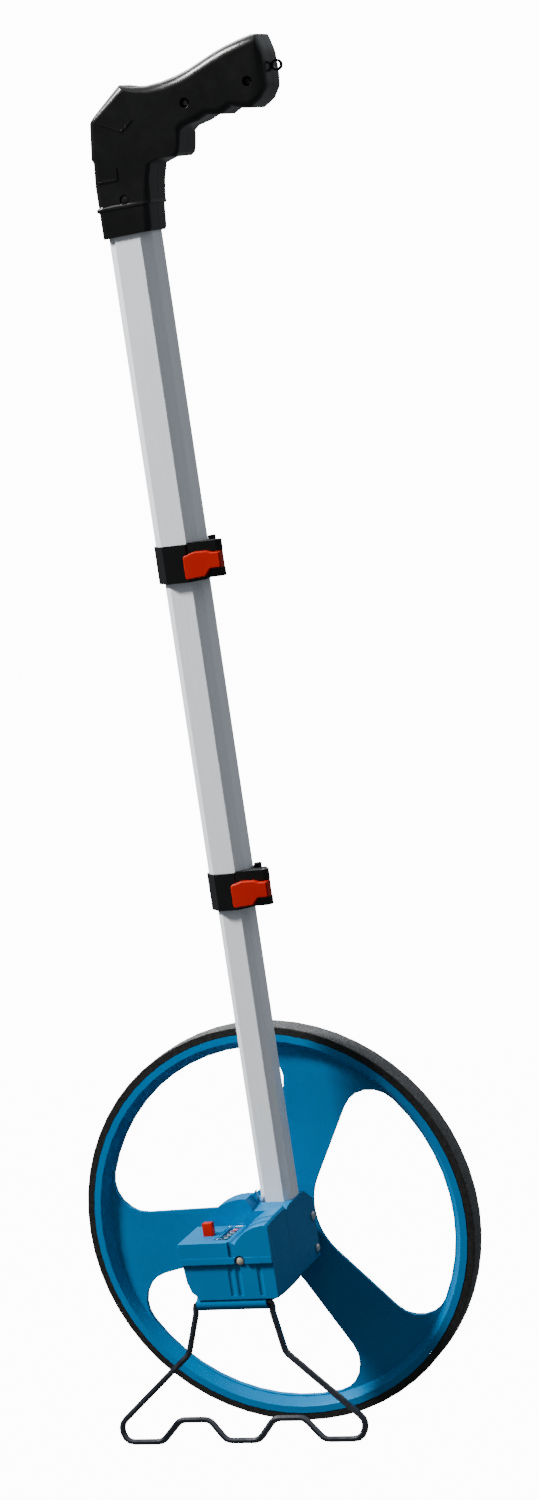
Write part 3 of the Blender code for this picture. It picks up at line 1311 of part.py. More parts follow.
# The stations of the head and the grip: left or top point, right or bottom point, then the
# shares of the full thickness and of the two edge roundings.
GRIP_STATION_SHARES = (
    ((-0.151, 0.300), (0.195, 0.300), 1.00, 0.60, 0.60),
    ((-0.140, 0.431), (0.219, 0.381), 1.00, 0.60, 0.60),
    ((-0.151, 0.454), (0.292, 0.405), 1.00, 0.60, 0.50),
    ((-0.126, 0.658), (0.381, 0.400), 1.00, 0.60, 0.50),
    ((-0.105, 0.684), (0.405, 0.418), 1.00, 0.60, 0.50),
    ((0.057, 0.822), (0.414, 0.450), 1.00, 0.80, 0.50),
    ((0.080, 0.843), (0.424, 0.500), 1.00, 0.95, 0.60),
    ((0.150, 0.826), (0.430, 0.535), 1.00, 1.00, 0.80),
    ((0.243, 0.816), (0.462, 0.556), 0.98, 1.00, 1.00),
    ((0.340, 0.825), (0.510, 0.568), 0.96, 1.00, 1.00),
    ((0.440, 0.846), (0.545, 0.575), 0.95, 1.00, 1.00),
    ((0.520, 0.870), (0.607, 0.600), 0.95, 1.00, 1.00),
    ((0.600, 0.902), (0.696, 0.590), 0.95, 1.00, 1.00),
    ((0.680, 0.934), (0.760, 0.622), 0.96, 1.00, 1.00),
    ((0.760, 0.960), (0.820, 0.606), 0.97, 1.00, 1.00),
    ((0.850, 0.983), (0.881, 0.598), 1.00, 1.00, 1.00),
    ((0.930, 0.998), (0.905, 0.612), 1.00, 0.95, 0.90),
    ((0.965, 0.996), (0.950, 0.640), 0.97, 0.80, 0.90),
    ((0.990, 0.930), (0.988, 0.690), 0.88, 0.90, 0.90),
    ((1.000, 0.880), (1.000, 0.730), 0.72, 0.90, 0.90),
)


def handle_stations():
    """(outer point, inner point, half thickness, outer rounding, inner rounding) up the handle."""
    stations = []
    for left_share, right_share, left_rib, right_rib in SLEEVE_STATION_SHARES:
        left = TUBE_X - SLEEVE_HALF - left_rib * RIB_HEIGHT
        right = TUBE_X + SLEEVE_HALF + right_rib * RIB_HEIGHT
        thick = HANDLE_HALF + max(left_rib, 0) * SLEEVE_TAPER
        outer = Vector((left, HANDLE_Z + left_share * HANDLE_HEIGHT))
        inner = Vector((right, HANDLE_Z + right_share * HANDLE_HEIGHT))
        stations.append((outer, inner, thick, SLEEVE_EDGE, SLEEVE_EDGE))
    for top, under, thick, crown, edge in GRIP_STATION_SHARES:
        outer, inner = handle_point(*top), handle_point(*under)
        stations.append((outer, inner, thick * HANDLE_HALF, crown * CROWN, edge * GRIP_EDGE))
    return stations


def half_loft(stations, side, parting, steps):
    """Half of the handle: a skin over half sections, closed by the flat parting face."""
    points, count = [], 0
    for outer, inner, half, outer_round, inner_round in stations:
        along = (inner - outer).normalized()
        width = (inner - outer).length
        section = [(0, parting)]
        corner = (outer_round, half - outer_round)
        section += arc(corner, outer_round, math.pi, math.pi / 2, steps)
        corner = (width - inner_round, half - inner_round)
        section += arc(corner, inner_round, math.pi / 2, 0, steps)
        section += [(width, parting)]
        count = len(section)
        for s, h in section:
            place = outer + along * s
            points.append(Vector((place.x, TUBE_Y + side * h, place.y)))
    faces = [tuple(range(count)), tuple(range(len(points) - count, len(points)))]
    for row in range(len(stations) - 1):
        for i in range(count):
            j = (i + 1) % count
            first = row * count
            faces.append((first + i, first + j, first + count + j, first + count + i))
    return shape_from(points, faces)


def hollow_stations():
    """The inside of the head and the grip, one wall in from the outside."""
    stations = []
    head = handle_stations()[len(SLEEVE_STATION_SHARES) + 2:]
    for outer, inner, half, outer_round, inner_round in head:
        along = (inner - outer).normalized()
        step = along * HANDLE_WALL
        less = HANDLE_WALL * HOLLOW_ROUND_SHARE
        stations.append(
            (outer + step, inner - step, half - HANDLE_WALL, outer_round - less, inner_round - less)
        )
    first = stations[0]
    raised = Vector((0, HANDLE_WALL + GAP))
    stations[0] = (first[0] + raised, first[1] + raised, *first[2:])
    last = stations[-1]
    back = Vector((HANDLE_WALL, 0))
    stations[-1] = (last[0] - back, last[1] - back, *last[2:])
    return stations


def handle_screw_place(row):
    name, a_share, b_share = row
    place = handle_point(a_share, b_share)
    return name, place.x, place.y


def build_handle(looks):
    body = "upper_section"
    bore = inside_outline(UPPER_ACROSS, -GAP)
    bore_top = HANDLE_Z + TUBE_IN_HANDLE + GAP
    screws = [handle_screw_place(row) for row in HANDLE_SCREW_PLACES]
    for name, side in (("handle_shell_near", -1), ("handle_shell_far", 1)):
        skin = half_loft(handle_stations(), side, GAP / 2, SHELL_ARC_STEPS)
        shell = add_piece(name, body, skin, looks["black"])
        cut(shell, body, half_loft(hollow_stations(), side, -OVERRUN, HOLLOW_ARC_STEPS))
        cut(shell, body, prism(bore, "Z", HANDLE_Z - 2 * OVERRUN, bore_top))
        for _, x, z in screws:
            reach = HANDLE_HALF - HANDLE_WALL / 2 - SINK
            low, high = sorted((TUBE_Y + side * GAP / 2, TUBE_Y + side * reach))
            fuse(shell, body, rod("Y", (x, z), HANDLE_BOSS_RADIUS, low, high, SMALL_STEPS))
        cut_screw_holes(shell, body, side)
        x, z = handle_point(*EYELET_SHARES)
        neck = EYELET_NECK + GAP
        low = (x - EYELET_RADIUS - EYELET_SHANK - GAP, TUBE_Y - EYELET_HALF - GAP, z - neck)
        cut(shell, body, block(low, (x, TUBE_Y + EYELET_HALF + GAP, z + neck)))
        for row in RIDGE_SHARES:
            fuse(shell, body, handle_ridge(row, side))
    build_handle_screws(looks)
    build_eyelet(looks)


def handle_ridge(row, side):
    """A fine raised line on the side of the handle, with mitred corners."""
    line = [handle_point(*shares) for shares in row]
    left, right = [], []
    for i, here in enumerate(line):
        before = (here - line[i - 1]).normalized() if i else None
        after = (line[i + 1] - here).normalized() if i + 1 < len(line) else None
        along = ((before or after) + (after or before)).normalized()
        across = Vector((-along.y, along.x))
        half = RIDGE_WIDTH / 2
        if before and after:
            half /= along.dot(before)
        left.append(tuple(here + across * half))
        right.append(tuple(here - across * half))
    inside = TUBE_Y + side * (HANDLE_HALF - SINK)
    outside = TUBE_Y + side * (HANDLE_HALF + RIDGE_HEIGHT)
    low, high = sorted((inside, outside))
    return prism(left + right[::-1], "Y", low, high)


def handle_screw_rows():
    """Every handle screw: its name, its place, the depth of its recess and where it ends."""
    rows = []
    for row in HANDLE_SCREW_PLACES:
        rows.append((*handle_screw_place(row), HANDLE_RECESS_DEPTH, HANDLE_SCREW_END))
    sleeve = handle_screw_place(SLEEVE_SCREW_PLACE)
    rows.append((*sleeve, SLEEVE_RECESS_DEPTH, UPPER_ACROSS / 2))
    return rows


def cut_screw_holes(shell, body, side):
    outside = TUBE_Y - HANDLE_HALF - OVERRUN
    for _, x, z, depth, end in handle_screw_rows():
        if side < 0:
            floor = TUBE_Y - HANDLE_HALF + depth
            recess = rod("Y", (x, z), HANDLE_RECESS_RADIUS, outside, floor, RECESS_STEPS)
            cut(shell, body, recess)
        hole = (outside, TUBE_Y + end + GAP)
        cut(shell, body, rod("Y", (x, z), HANDLE_SCREW_RADIUS + GAP, *hole, SMALL_STEPS))


def build_handle_screws(looks):
    head = HANDLE_SCREW_HEAD
    for name, x, z, depth, end in handle_screw_rows():
        seat = TUBE_Y - HANDLE_HALF + depth - GAP
        head_depth = depth * HANDLE_RECESS_SHARE
        profile = [
            (0, seat - head_depth),
            (head * HANDLE_SCREW_TOP_SHARE, seat - head_depth),
            (head, seat - head_depth / 2),
            (head, seat),
            (HANDLE_SCREW_RADIUS, seat),
            (HANDLE_SCREW_RADIUS, TUBE_Y + end),
            (0, TUBE_Y + end),
        ]
        screw = turned(profile, "Y", (x, z), SMALL_STEPS)
        add_piece(name, "upper_section", screw, looks["steel"])


def build_eyelet(looks):
    x, z = handle_point(*EYELET_SHARES)
    low, high = TUBE_Y - EYELET_HALF, TUBE_Y + EYELET_HALF
    loop = ring("Y", (x, z), EYELET_HOLE, EYELET_RADIUS, low, high, EYELET_STEPS)
    eyelet = add_piece("strap_eyelet", "upper_section", loop, looks["black"])
    neck_left = x - EYELET_RADIUS - EYELET_SHANK
    neck_right = x - EYELET_HOLE - GAP
    neck_low = (neck_left, low + GAP, z - EYELET_NECK)
    neck = block(neck_low, (neck_right, high - GAP, z + EYELET_NECK))
    fuse(eyelet, "upper_section", neck)


def build_looks():
    return {
        "blue": make_material("blue_plastic", (0.0, 0.19, 0.46), 0.32),
        "tyre": make_material("tyre_rubber", (0.016, 0.015, 0.015), 0.75),
        "steel": make_material("plated_steel", (0.62, 0.62, 0.60), 0.28, 1.0),
        "brass": make_material("gear_brass", (0.62, 0.44, 0.16), 0.35, 1.0),
        "drum": make_material("drum_plastic", (0.02, 0.02, 0.02), 0.45),
        "black": make_material("black_plastic", (0.010, 0.010, 0.010), 0.42),
        "red": make_material("red_plastic", (0.50, 0.018, 0.004), 0.38),
        "tube": make_material("anodised_tube", (0.52, 0.58, 0.65), 0.36, 1.0),
        "wire": make_material("stand_wire", (0.008, 0.010, 0.016), 0.25, 0.2),
        "screw": make_material("screw_head", (0.55, 0.48, 0.38), 0.35, 1.0),
        "lens": make_material("clear_lens", (0.80, 0.84, 0.86), 0.05),
    }


def main():
    clear_scene()
    looks = build_looks()
    tool = add_body("tool", None, (0, 0, 0))
    place_tool(tool)
    add_body("frame", "tool", (0, 0, 0))
    add_body("wheel", "tool", (0, 0, 0))
    add_body("counter_drive", "tool", (COUNTER_X, DRUM_FIRST_Y, COUNTER_Z))
    add_body("reset_button_body", "tool", (*button_centre(), CASE_TOP))
    add_body("stand", "tool", (STAND_X, HINGE_Y, HINGE_Z))
    add_body("middle_section", "tool", (TUBE_X, TUBE_Y, LOWER_CLAMP_Z))
    add_body("lower_lever", "middle_section", (*pin_place(MIDDLE_ACROSS), LOWER_CLAMP_Z))
    add_body("upper_section", "middle_section", (TUBE_X, TUBE_Y, UPPER_CLAMP_Z))
    add_body("upper_lever", "upper_section", (*pin_place(UPPER_ACROSS), UPPER_CLAMP_Z))

    build_wheel(looks)
    build_hub(looks)
    build_bearing("front_bearing", FRONT_BEARING_Y, looks)
    build_bearing("rear_bearing", REAR_BEARING_Y, looks)
    build_gears(looks)
    build_drums(looks)
    build_counter_frame(looks)
    build_gear_case(looks)
    build_axle_carrier(looks)
    build_gear_plate(looks)
    build_counter_case(looks)
    build_reset_button(looks)
    build_stand(looks)
    build_tubes(looks)
    clamps = ("middle_section", "lower_lever", LOWER_ACROSS, MIDDLE_ACROSS, LOWER_CLAMP_Z)
    build_clamp("lower", *clamps, looks)
    clamps = ("upper_section", "upper_lever", MIDDLE_ACROSS, UPPER_ACROSS, UPPER_CLAMP_Z)
    build_clamp("upper", *clamps, looks)
    build_handle(looks)


main()
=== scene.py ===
"""The looks of the measuring wheel: materials, counter digits, light, floor and camera."""

import json
import math

import bmesh
import bpy
from mathutils import Matrix, Vector

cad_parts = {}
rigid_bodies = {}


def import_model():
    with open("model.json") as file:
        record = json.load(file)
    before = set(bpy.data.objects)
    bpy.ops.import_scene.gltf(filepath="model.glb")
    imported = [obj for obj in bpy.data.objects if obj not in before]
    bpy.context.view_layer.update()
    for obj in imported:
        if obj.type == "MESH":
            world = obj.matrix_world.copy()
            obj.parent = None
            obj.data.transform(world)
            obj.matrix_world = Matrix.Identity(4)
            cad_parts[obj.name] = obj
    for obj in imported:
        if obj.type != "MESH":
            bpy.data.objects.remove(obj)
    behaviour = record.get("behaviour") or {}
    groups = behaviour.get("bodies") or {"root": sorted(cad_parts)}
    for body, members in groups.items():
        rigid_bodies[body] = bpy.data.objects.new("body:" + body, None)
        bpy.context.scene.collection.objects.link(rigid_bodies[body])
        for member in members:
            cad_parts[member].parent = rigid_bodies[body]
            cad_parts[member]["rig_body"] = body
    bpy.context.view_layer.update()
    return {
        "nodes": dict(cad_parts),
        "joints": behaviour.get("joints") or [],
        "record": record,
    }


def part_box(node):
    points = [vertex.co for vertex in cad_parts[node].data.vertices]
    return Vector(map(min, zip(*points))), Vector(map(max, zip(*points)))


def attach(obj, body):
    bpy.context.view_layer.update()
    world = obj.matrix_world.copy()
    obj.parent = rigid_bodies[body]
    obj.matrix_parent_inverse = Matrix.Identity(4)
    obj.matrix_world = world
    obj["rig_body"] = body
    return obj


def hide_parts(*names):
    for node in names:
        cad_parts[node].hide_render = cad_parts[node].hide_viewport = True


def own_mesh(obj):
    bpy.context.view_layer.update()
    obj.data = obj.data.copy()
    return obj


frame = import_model()

NODES = frame["nodes"]
JOINTS = {joint["name"]: joint for joint in frame["joints"]}

# The tool's own frame: origin on the axle, +Y along it, +Z up the leaning tube
AXLE_POINT = Vector(JOINTS["wheel_spin"]["pos_m"])
AXLE_LINE = Vector(JOINTS["wheel_spin"]["axis"]).normalized()
LEAN = math.atan2(AXLE_LINE.z, AXLE_LINE.y)
TOOL = Matrix.Translation(AXLE_POINT) @ Matrix.Rotation(LEAN, 4, "X")
TO_TOOL = TOOL.inverted()


def corners_in_tool(name):
    """A CAD node's vertices in the tool's own frame."""
    return [TO_TOOL @ vert.co for vert in NODES[name].data.vertices]


def add_object(name, data):
    """Puts new data in the scene as an object."""
    made = bpy.data.objects.new(name, data)
    bpy.context.scene.collection.objects.link(made)
    return made


def new_mesh(name, made):
    """Turns a bmesh into a named mesh."""
    mesh = bpy.data.meshes.new(name)
    made.to_mesh(mesh)
    made.free()
    return mesh


# Materials. Colours are linear, noise scales are waves per metre, depths are metres.

WHITE = (1.0, 1.0, 1.0)

# A mix node's inputs and output for colours
MIX_SHARE = 0
MIX_COLOURS = (6, 7)
MIX_RESULT = 2


class Look:
    """A node material with the tool's own coordinates, in metres, as its texture space."""

    def __init__(self, name, roughness, metallic=0.0, coat=0.0, specular=0.5, tint=WHITE):
        self.made = bpy.data.materials.new(f"{name}_look")
        self.made.use_nodes = True
        self.tree = self.made.node_tree
        self.shader = self.tree.nodes["Principled BSDF"]
        self.constant("Roughness", roughness)
        self.constant("Metallic", metallic)
        self.constant("Coat Weight", coat)
        self.constant("Specular IOR Level", specular)
        self.constant("Specular Tint", (*tint, 1))
        source = self.node("ShaderNodeTexCoord")
        turned = self.node("ShaderNodeMapping")
        turned.inputs["Rotation"].default_value = TO_TOOL.to_euler()
        turned.inputs["Location"].default_value = TO_TOOL.translation
        self.link(source.outputs["Object"], turned.inputs["Vector"])
        self.place = turned.outputs["Vector"]

    def constant(self, socket, value):
        """Sets what is the same all over, on the shader's own socket."""
        self.shader.inputs[socket].default_value = value

    def node(self, kind, **settings):
        """A new node with the given settings."""
        made = self.tree.nodes.new(kind)
        for name, value in settings.items():
            setattr(made, name, value)
        return made

    def link(self, source, target):
        """Joins an output to an input."""
        self.tree.links.new(source, target)

    def noise(self, scale, detail=3.0, rough=0.5, stretch=None):
        """Noise from 0 to 1."""
        made = self.node("ShaderNodeTexNoise")
        made.inputs["Scale"].default_value = scale
        made.inputs["Detail"].default_value = detail
        made.inputs["Roughness"].default_value = rough
        vector = self.place
        if stretch:
            sized = self.node("ShaderNodeMapping")
            sized.inputs["Scale"].default_value = stretch
            self.link(vector, sized.inputs["Vector"])
            vector = sized.outputs["Vector"]
        self.link(vector, made.inputs["Vector"])
        return made.outputs["Fac"]

    def ramp(self, source, span, ends=(0.0, 1.0)):
        """Goes from one end to the other as the source crosses the span, clamped."""
        made = self.node("ShaderNodeMapRange", clamp=True)
        for name, value in zip(("From Min", "From Max", "To Min", "To Max"), (*span, *ends)):
            made.inputs[name].default_value = value
        self.link(source, made.inputs["Value"])
        return made.outputs["Result"]

    def mix(self, share, first, second):
        """A colour between two colours. Each may be a colour or a socket."""
        made = self.node("ShaderNodeMix", data_type="RGBA")
        self.link(share, made.inputs[MIX_SHARE])
        for slot, colour in zip(MIX_COLOURS, (first, second)):
            if isinstance(colour, tuple):
                made.inputs[slot].default_value = (*colour, 1)
            else:
                self.link(colour, made.inputs[slot])
        return made.outputs[MIX_RESULT]

    def math(self, operation, *values):
        """One step of arithmetic on sockets."""
        made = self.node("ShaderNodeMath", operation=operation)
        for slot, value in enumerate(values):
            self.link(value, made.inputs[slot])
        return made.outputs["Value"]

    def colour(self, source):
        """Takes the surface's colour from a socket."""
        self.link(source, self.shader.inputs["Base Color"])

    def roughness(self, source, span, ends):
        """Takes the roughness from a source, between two ends."""
        self.link(self.ramp(source, span, ends), self.shader.inputs["Roughness"])

    def bump(self, source, depth):
        """Fine relief, from a socket."""
        made = self.node("ShaderNodeBump")
        made.inputs["Strength"].default_value = 1.0
        made.inputs["Distance"].default_value = depth
        self.link(source, made.inputs["Height"])
        self.link(made.outputs["Normal"], self.shader.inputs["Normal"])


# Where a noise starts and ends its climb from one tone to the other
EVEN_SPAN = (0.3, 0.7)
PAINT_SPAN = (0.35, 0.65)
PATCH_SPAN = (0.4, 0.7)
GRIT_SPAN = (0.42, 0.62)

# Shares of a look's roughness, where it is smoothest and where it is roughest
PLASTIC_WEAR = (0.86, 1.16)
METAL_WEAR = (0.85, 1.2)
PAINT_WEAR = (0.8, 1.2)

# The tread's colour fades in between these depths under the tyre's outside.
TREAD_DEPTHS = (0.0008, 0.0004)
TYRE_RADIUS = max(corner.x for corner in corners_in_tool("tyre"))
RUBBER_SIDE = ((0.006, 0.0058, 0.0056), (0.016, 0.015, 0.014))
RUBBER_TREAD = ((0.018, 0.020, 0.023), (0.17, 0.175, 0.18))
RUBBER_ROUGHNESS = (0.55, 0.85)

# The lighter tone of a paint is this much brighter than the darker one.
PAINT_TIMES = 1.5
PAINT_PLUS = 0.004

LENS_TONES = ((0.90, 0.95, 0.96), (0.98, 0.99, 0.99))
LENS_ROUGHNESS = (0.03, 0.10)
LENS_IOR = 1.49


def plastic(name, tones, roughness, grain=2600.0, depth=0.00003, **shine):
    """Moulded plastic: slow colour drift, fine grain and uneven gloss."""
    look = Look(name, roughness, **shine)
    drift = look.noise(scale=18.0, detail=2.0)
    smudge = look.noise(scale=60.0, detail=4.0, rough=0.6)
    look.colour(look.mix(look.ramp(drift, EVEN_SPAN), *tones))
    look.roughness(smudge, EVEN_SPAN, [roughness * share for share in PLASTIC_WEAR])
    look.bump(look.noise(scale=grain, detail=2.0), depth)
    return look


def rubber(name):
    """Black rubber sides, and a tread scuffed grey with pale specks."""
    look = Look(name, roughness=0.6, specular=0.3)
    split = look.node("ShaderNodeSeparateXYZ")
    look.link(look.place, split.inputs["Vector"])
    sides = [split.outputs["X"], split.outputs["Z"]]
    squares = [look.math("MULTIPLY", side, side) for side in sides]
    reach = look.math("SQRT", look.math("ADD", *squares))
    tread = look.ramp(reach, [TYRE_RADIUS - depth for depth in TREAD_DEPTHS])
    grit = look.noise(scale=1100.0, detail=4.0, rough=0.8)
    patches = look.noise(scale=260.0, detail=4.0)
    side = look.mix(look.ramp(patches, PATCH_SPAN), *RUBBER_SIDE)
    worn = look.mix(look.ramp(grit, GRIT_SPAN), *RUBBER_TREAD)
    look.colour(look.mix(tread, side, worn))
    look.roughness(tread, (0.0, 1.0), RUBBER_ROUGHNESS)
    look.bump(grit, depth=0.0002)
    return look


def metal(name, tones, roughness, stretch=None, scale=700.0, metallic=1.0):
    """Bare or anodised metal, with streaks along the stretched axis."""
    look = Look(name, roughness, metallic=metallic)
    streaks = look.noise(scale, detail=3.0, rough=0.6, stretch=stretch)
    look.colour(look.mix(look.ramp(streaks, EVEN_SPAN), *tones))
    look.roughness(streaks, EVEN_SPAN, [roughness * share for share in METAL_WEAR])
    look.bump(streaks, depth=0.00001)
    return look


def painted(name, colour, roughness, coat):
    """A coat of paint, slightly uneven in tone, gloss and thickness."""
    look = Look(name, roughness, coat=coat)
    drift = look.noise(scale=140.0, detail=3.0)
    lighter = tuple(channel * PAINT_TIMES + PAINT_PLUS for channel in colour)
    look.colour(look.mix(look.ramp(drift, PAINT_SPAN), colour, lighter))
    look.roughness(drift, PAINT_SPAN, [roughness * share for share in PAINT_WEAR])
    look.bump(look.noise(scale=450.0, detail=2.0), depth=0.00005)
    return look


def clear(name):
    """Clear plastic with a little haze."""
    look = Look(name, roughness=0.06)
    look.constant("Transmission Weight", 1.0)
    look.constant("IOR", LENS_IOR)
    look.roughness(look.noise(scale=300.0, detail=4.0), PATCH_SPAN, LENS_ROUGHNESS)
    look.colour(look.mix(look.noise(scale=40.0, detail=3.0), *LENS_TONES))
    return look


# Each finish: its darker and its lighter tone
BLUE = ((0.0004, 0.138, 0.340), (0.0006, 0.156, 0.376))
BLACK = ((0.0020, 0.0020, 0.0021), (0.0038, 0.0038, 0.0039))
RED = ((0.36, 0.006, 0.0015), (0.42, 0.009, 0.002))
PLATED_STEEL = ((0.45, 0.45, 0.44), (0.68, 0.68, 0.67))
BRASS = ((0.48, 0.32, 0.12), (0.70, 0.50, 0.20))
DRUM_BLACK = ((0.012, 0.012, 0.012), (0.022, 0.022, 0.022))
ANODISED = ((0.84, 0.89, 0.95), (0.92, 0.95, 0.98))
YELLOW_STEEL = ((0.58, 0.48, 0.36), (0.80, 0.70, 0.58))
# Near-black steel tones for the handle screws: painted shade, so their deep recesses read dark
SCREW_SHADE_TONES = ((0.012, 0.012, 0.013), (0.030, 0.030, 0.031))
INK = ((0.72, 0.72, 0.70), (0.82, 0.82, 0.80))
WIRE_PAINT = (0.004, 0.006, 0.011)

# Tints of the highlights
BLUE_SHEEN = (0.10, 0.62, 1.0)
RED_SHEEN = (1.0, 0.45, 0.35)

# Streaks along the tube
TUBE_STRETCH = (1.0, 1.0, 0.02)

# The record's material slots
LOOKS = {
    "blue_plastic": plastic("blue_plastic", BLUE, roughness=0.33, specular=0.13, tint=BLUE_SHEEN),
    "tyre_rubber": rubber("tyre_rubber"),
    "plated_steel": metal("plated_steel", PLATED_STEEL, roughness=0.30),
    "gear_brass": metal("gear_brass", BRASS, roughness=0.34),
    "drum_plastic": plastic("drum_plastic", DRUM_BLACK, roughness=0.45),
    "black_plastic": plastic(
        "black_plastic", BLACK, roughness=0.27, grain=1900.0, depth=0.00004, specular=0.42
    ),
    "red_plastic": plastic("red_plastic", RED, roughness=0.38, specular=0.15, tint=RED_SHEEN),
    "anodised_tube": metal(
        "anodised_tube", ANODISED, roughness=0.42, stretch=TUBE_STRETCH, scale=1600.0, metallic=0.15
    ),
    "stand_wire": painted("stand_wire", WIRE_PAINT, roughness=0.22, coat=0.6),
    "screw_head": metal("screw_head", YELLOW_STEEL, roughness=0.36, metallic=0.6),
    "clear_lens": clear("clear_lens"),
}
WHITE_INK = plastic("white_ink", INK, roughness=0.5)
# The handle screws' near-black look: painted shade in their recesses, not their slot's plated steel
SCREW_SHADE_LOOK = metal("screw_shade", SCREW_SHADE_TONES, roughness=0.32, metallic=0.7)

# Nodes that don't show their slot's look: the handle screws, plated steel in their slot, show
# near-black steel as painted shade, so their deep recesses read dark
OTHER_LOOKS = {f"handle_screw_{place}": SCREW_SHADE_LOOK for place in ("grip", "butt", "sleeve")}


# Faces and edges of the CAD nodes

# Moulded edges are rounded by this much in the visual model.
CASE_ROUND = 0.0005
SMALL_ROUND = 0.0004
EDGE_ROUNDS = {
    "gear_case": CASE_ROUND,
    "counter_case": CASE_ROUND,
    "handle_shell_near": SMALL_ROUND,
    "handle_shell_far": SMALL_ROUND,
    "lower_collar": SMALL_ROUND,
    "upper_collar": SMALL_ROUND,
    "lower_clamp_lever": SMALL_ROUND,
    "upper_clamp_lever": SMALL_ROUND,
}
ROUND_STEPS = 2

# Faces that meet at more than this angle have a sharp edge between them.
SHARP_ANGLE = math.radians(32)
# Faces that meet at less than this angle are one flat face.
FLAT_ANGLE = math.radians(0.4)
# Corners closer than this are one corner.
WELD_GAP = 0.000002


def smooth_node(node, width=None):
    """Joins the imported triangles, then rounds the sharp edges or keeps them crisp."""
    node.data.shade_smooth()
    if "custom_normal" in node.data.attributes:
        node.data.attributes.remove(node.data.attributes["custom_normal"])
    weld = node.modifiers.new("weld", "WELD")
    weld.merge_threshold = WELD_GAP
    if width:
        flat = node.modifiers.new("flat", "DECIMATE")
        flat.decimate_type = "DISSOLVE"
        flat.angle_limit = FLAT_ANGLE
        bevel = node.modifiers.new("bevel", "BEVEL")
        bevel.limit_method = "ANGLE"
        bevel.angle_limit = SHARP_ANGLE
        bevel.width = width
        bevel.segments = ROUND_STEPS
        bevel.use_clamp_overlap = True
        even = node.modifiers.new("even", "WEIGHTED_NORMAL")
        even.keep_sharp = False
    else:
        split = node.modifiers.new("split", "EDGE_SPLIT")
        split.split_angle = SHARP_ANGLE


def dress_nodes():
    """Gives every CAD node its slot's look (the handle screws get painted shade instead) and smooth
    faces between sharp edges.
    """
    for row in frame["record"]["subparts"]:
        node = NODES[row["node"]]
        look = OTHER_LOOKS.get(row["node"], LOOKS[row["material_slot"]])
        node.data.materials.clear()
        node.data.materials.append(look.made)
        for face in node.data.polygons:
            face.material_index = 0
        smooth_node(node, EDGE_ROUNDS.get(row["node"]))


# New pieces

DRUMS = ("drum_thousands", "drum_hundreds", "drum_tens", "drum_metres", "drum_tenths")
DIGITS = 10
DIGIT_HEIGHT = 0.0046
DIGIT_DEPTH = 0.00012
DIGIT_CURVE_STEPS = 3

# The ring stays clear of the rim and the tyre, and inside the tyre's sides, by this much.
SEAT_CLEARANCE = 0.00003
SEAT_INSET = 0.001
SEAT_STEPS = 60


def add_piece(name, mesh, body, slot, look=None):
    """Puts a mesh in the scene as a piece that rides on a body, with its slot's look or another."""
    look = look or LOOKS[slot]
    mesh.materials.clear()
    mesh.materials.append(look.made)
    piece = add_object(name, mesh)
    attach(piece, body)
    return piece


def digit_mesh(text):
    """One plain digit as a thin mesh, centred, in metres, read along +X with +Y up."""
    curve = bpy.data.curves.new(f"digit_{text}", "FONT")
    curve.body = text
    curve.size = DIGIT_HEIGHT
    curve.align_x = "CENTER"
    curve.align_y = "CENTER"
    curve.extrude = DIGIT_DEPTH / 2
    curve.resolution_u = DIGIT_CURVE_STEPS
    holder = add_object(f"digit_{text}", curve)
    bpy.context.view_layer.update()
    graph = bpy.context.evaluated_depsgraph_get()
    mesh = bpy.data.meshes.new_from_object(holder.evaluated_get(graph))
    bpy.data.objects.remove(holder)
    bpy.data.curves.remove(curve)
    return mesh


def build_digits():
    """The digits 0 to 9 round each number drum, with 0 at the window."""
    flat = [digit_mesh(str(k)) for k in range(DIGITS)]
    for drum in DRUMS:
        spans = [(min(side), max(side)) for side in zip(*corners_in_tool(drum))]
        middle_x, middle_y, middle_z = ((least + most) / 2 for least, most in spans)
        least_x, most_x = spans[0]
        radius = (most_x - least_x) / 2
        made = bmesh.new()
        for k, mesh in enumerate(flat):
            bent = mesh.copy()
            for vert in bent.vertices:
                # The reader stands at +X: right is +Y, and a digit's top points to -X.
                turn = -2 * math.pi * k / DIGITS - vert.co.y / radius
                reach = radius + vert.co.z
                x = middle_x + reach * math.sin(turn)
                z = middle_z + reach * math.cos(turn)
                vert.co = TOOL @ Vector((x, middle_y + vert.co.x, z))
            made.from_mesh(bent)
            bpy.data.meshes.remove(bent)
        bmesh.ops.recalc_face_normals(made, faces=made.faces)
        name = f"digits_{drum}"
        add_piece(name, new_mesh(name, made), NODES[drum]["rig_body"], "drum_plastic", WHITE_INK)


def build_tyre_seat():
    """The tyre grips the rim, so a thin rubber ring closes the clearance between the solids."""
    rim = corners_in_tool("spoked_wheel")
    tyre = corners_in_tool("tyre")
    inner = max(math.hypot(corner.x, corner.z) for corner in rim) + SEAT_CLEARANCE
    outer = min(math.hypot(corner.x, corner.z) for corner in tyre) - SEAT_CLEARANCE
    near = min(corner.y for corner in tyre) + SEAT_INSET
    far = max(corner.y for corner in tyre) - SEAT_INSET
    section = ((inner, near), (outer, near), (outer, far), (inner, far))
    made = bmesh.new()
    rings = []
    for i in range(SEAT_STEPS):
        angle = 2 * math.pi * i / SEAT_STEPS
        ring = [Vector((r * math.cos(angle), y, r * math.sin(angle))) for r, y in section]
        rings.append([made.verts.new(TOOL @ corner) for corner in ring])
    for first, second in zip(rings, rings[1:] + rings[:1]):
        for i in range(len(section)):
            j = (i + 1) % len(section)
            made.faces.new((first[i], second[i], second[j], first[j]))
    bmesh.ops.recalc_face_normals(made, faces=made.faces)
    mesh = new_mesh("tyre_seat", made)
    add_piece("tyre_seat", mesh, NODES["tyre"]["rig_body"], "tyre_rubber")


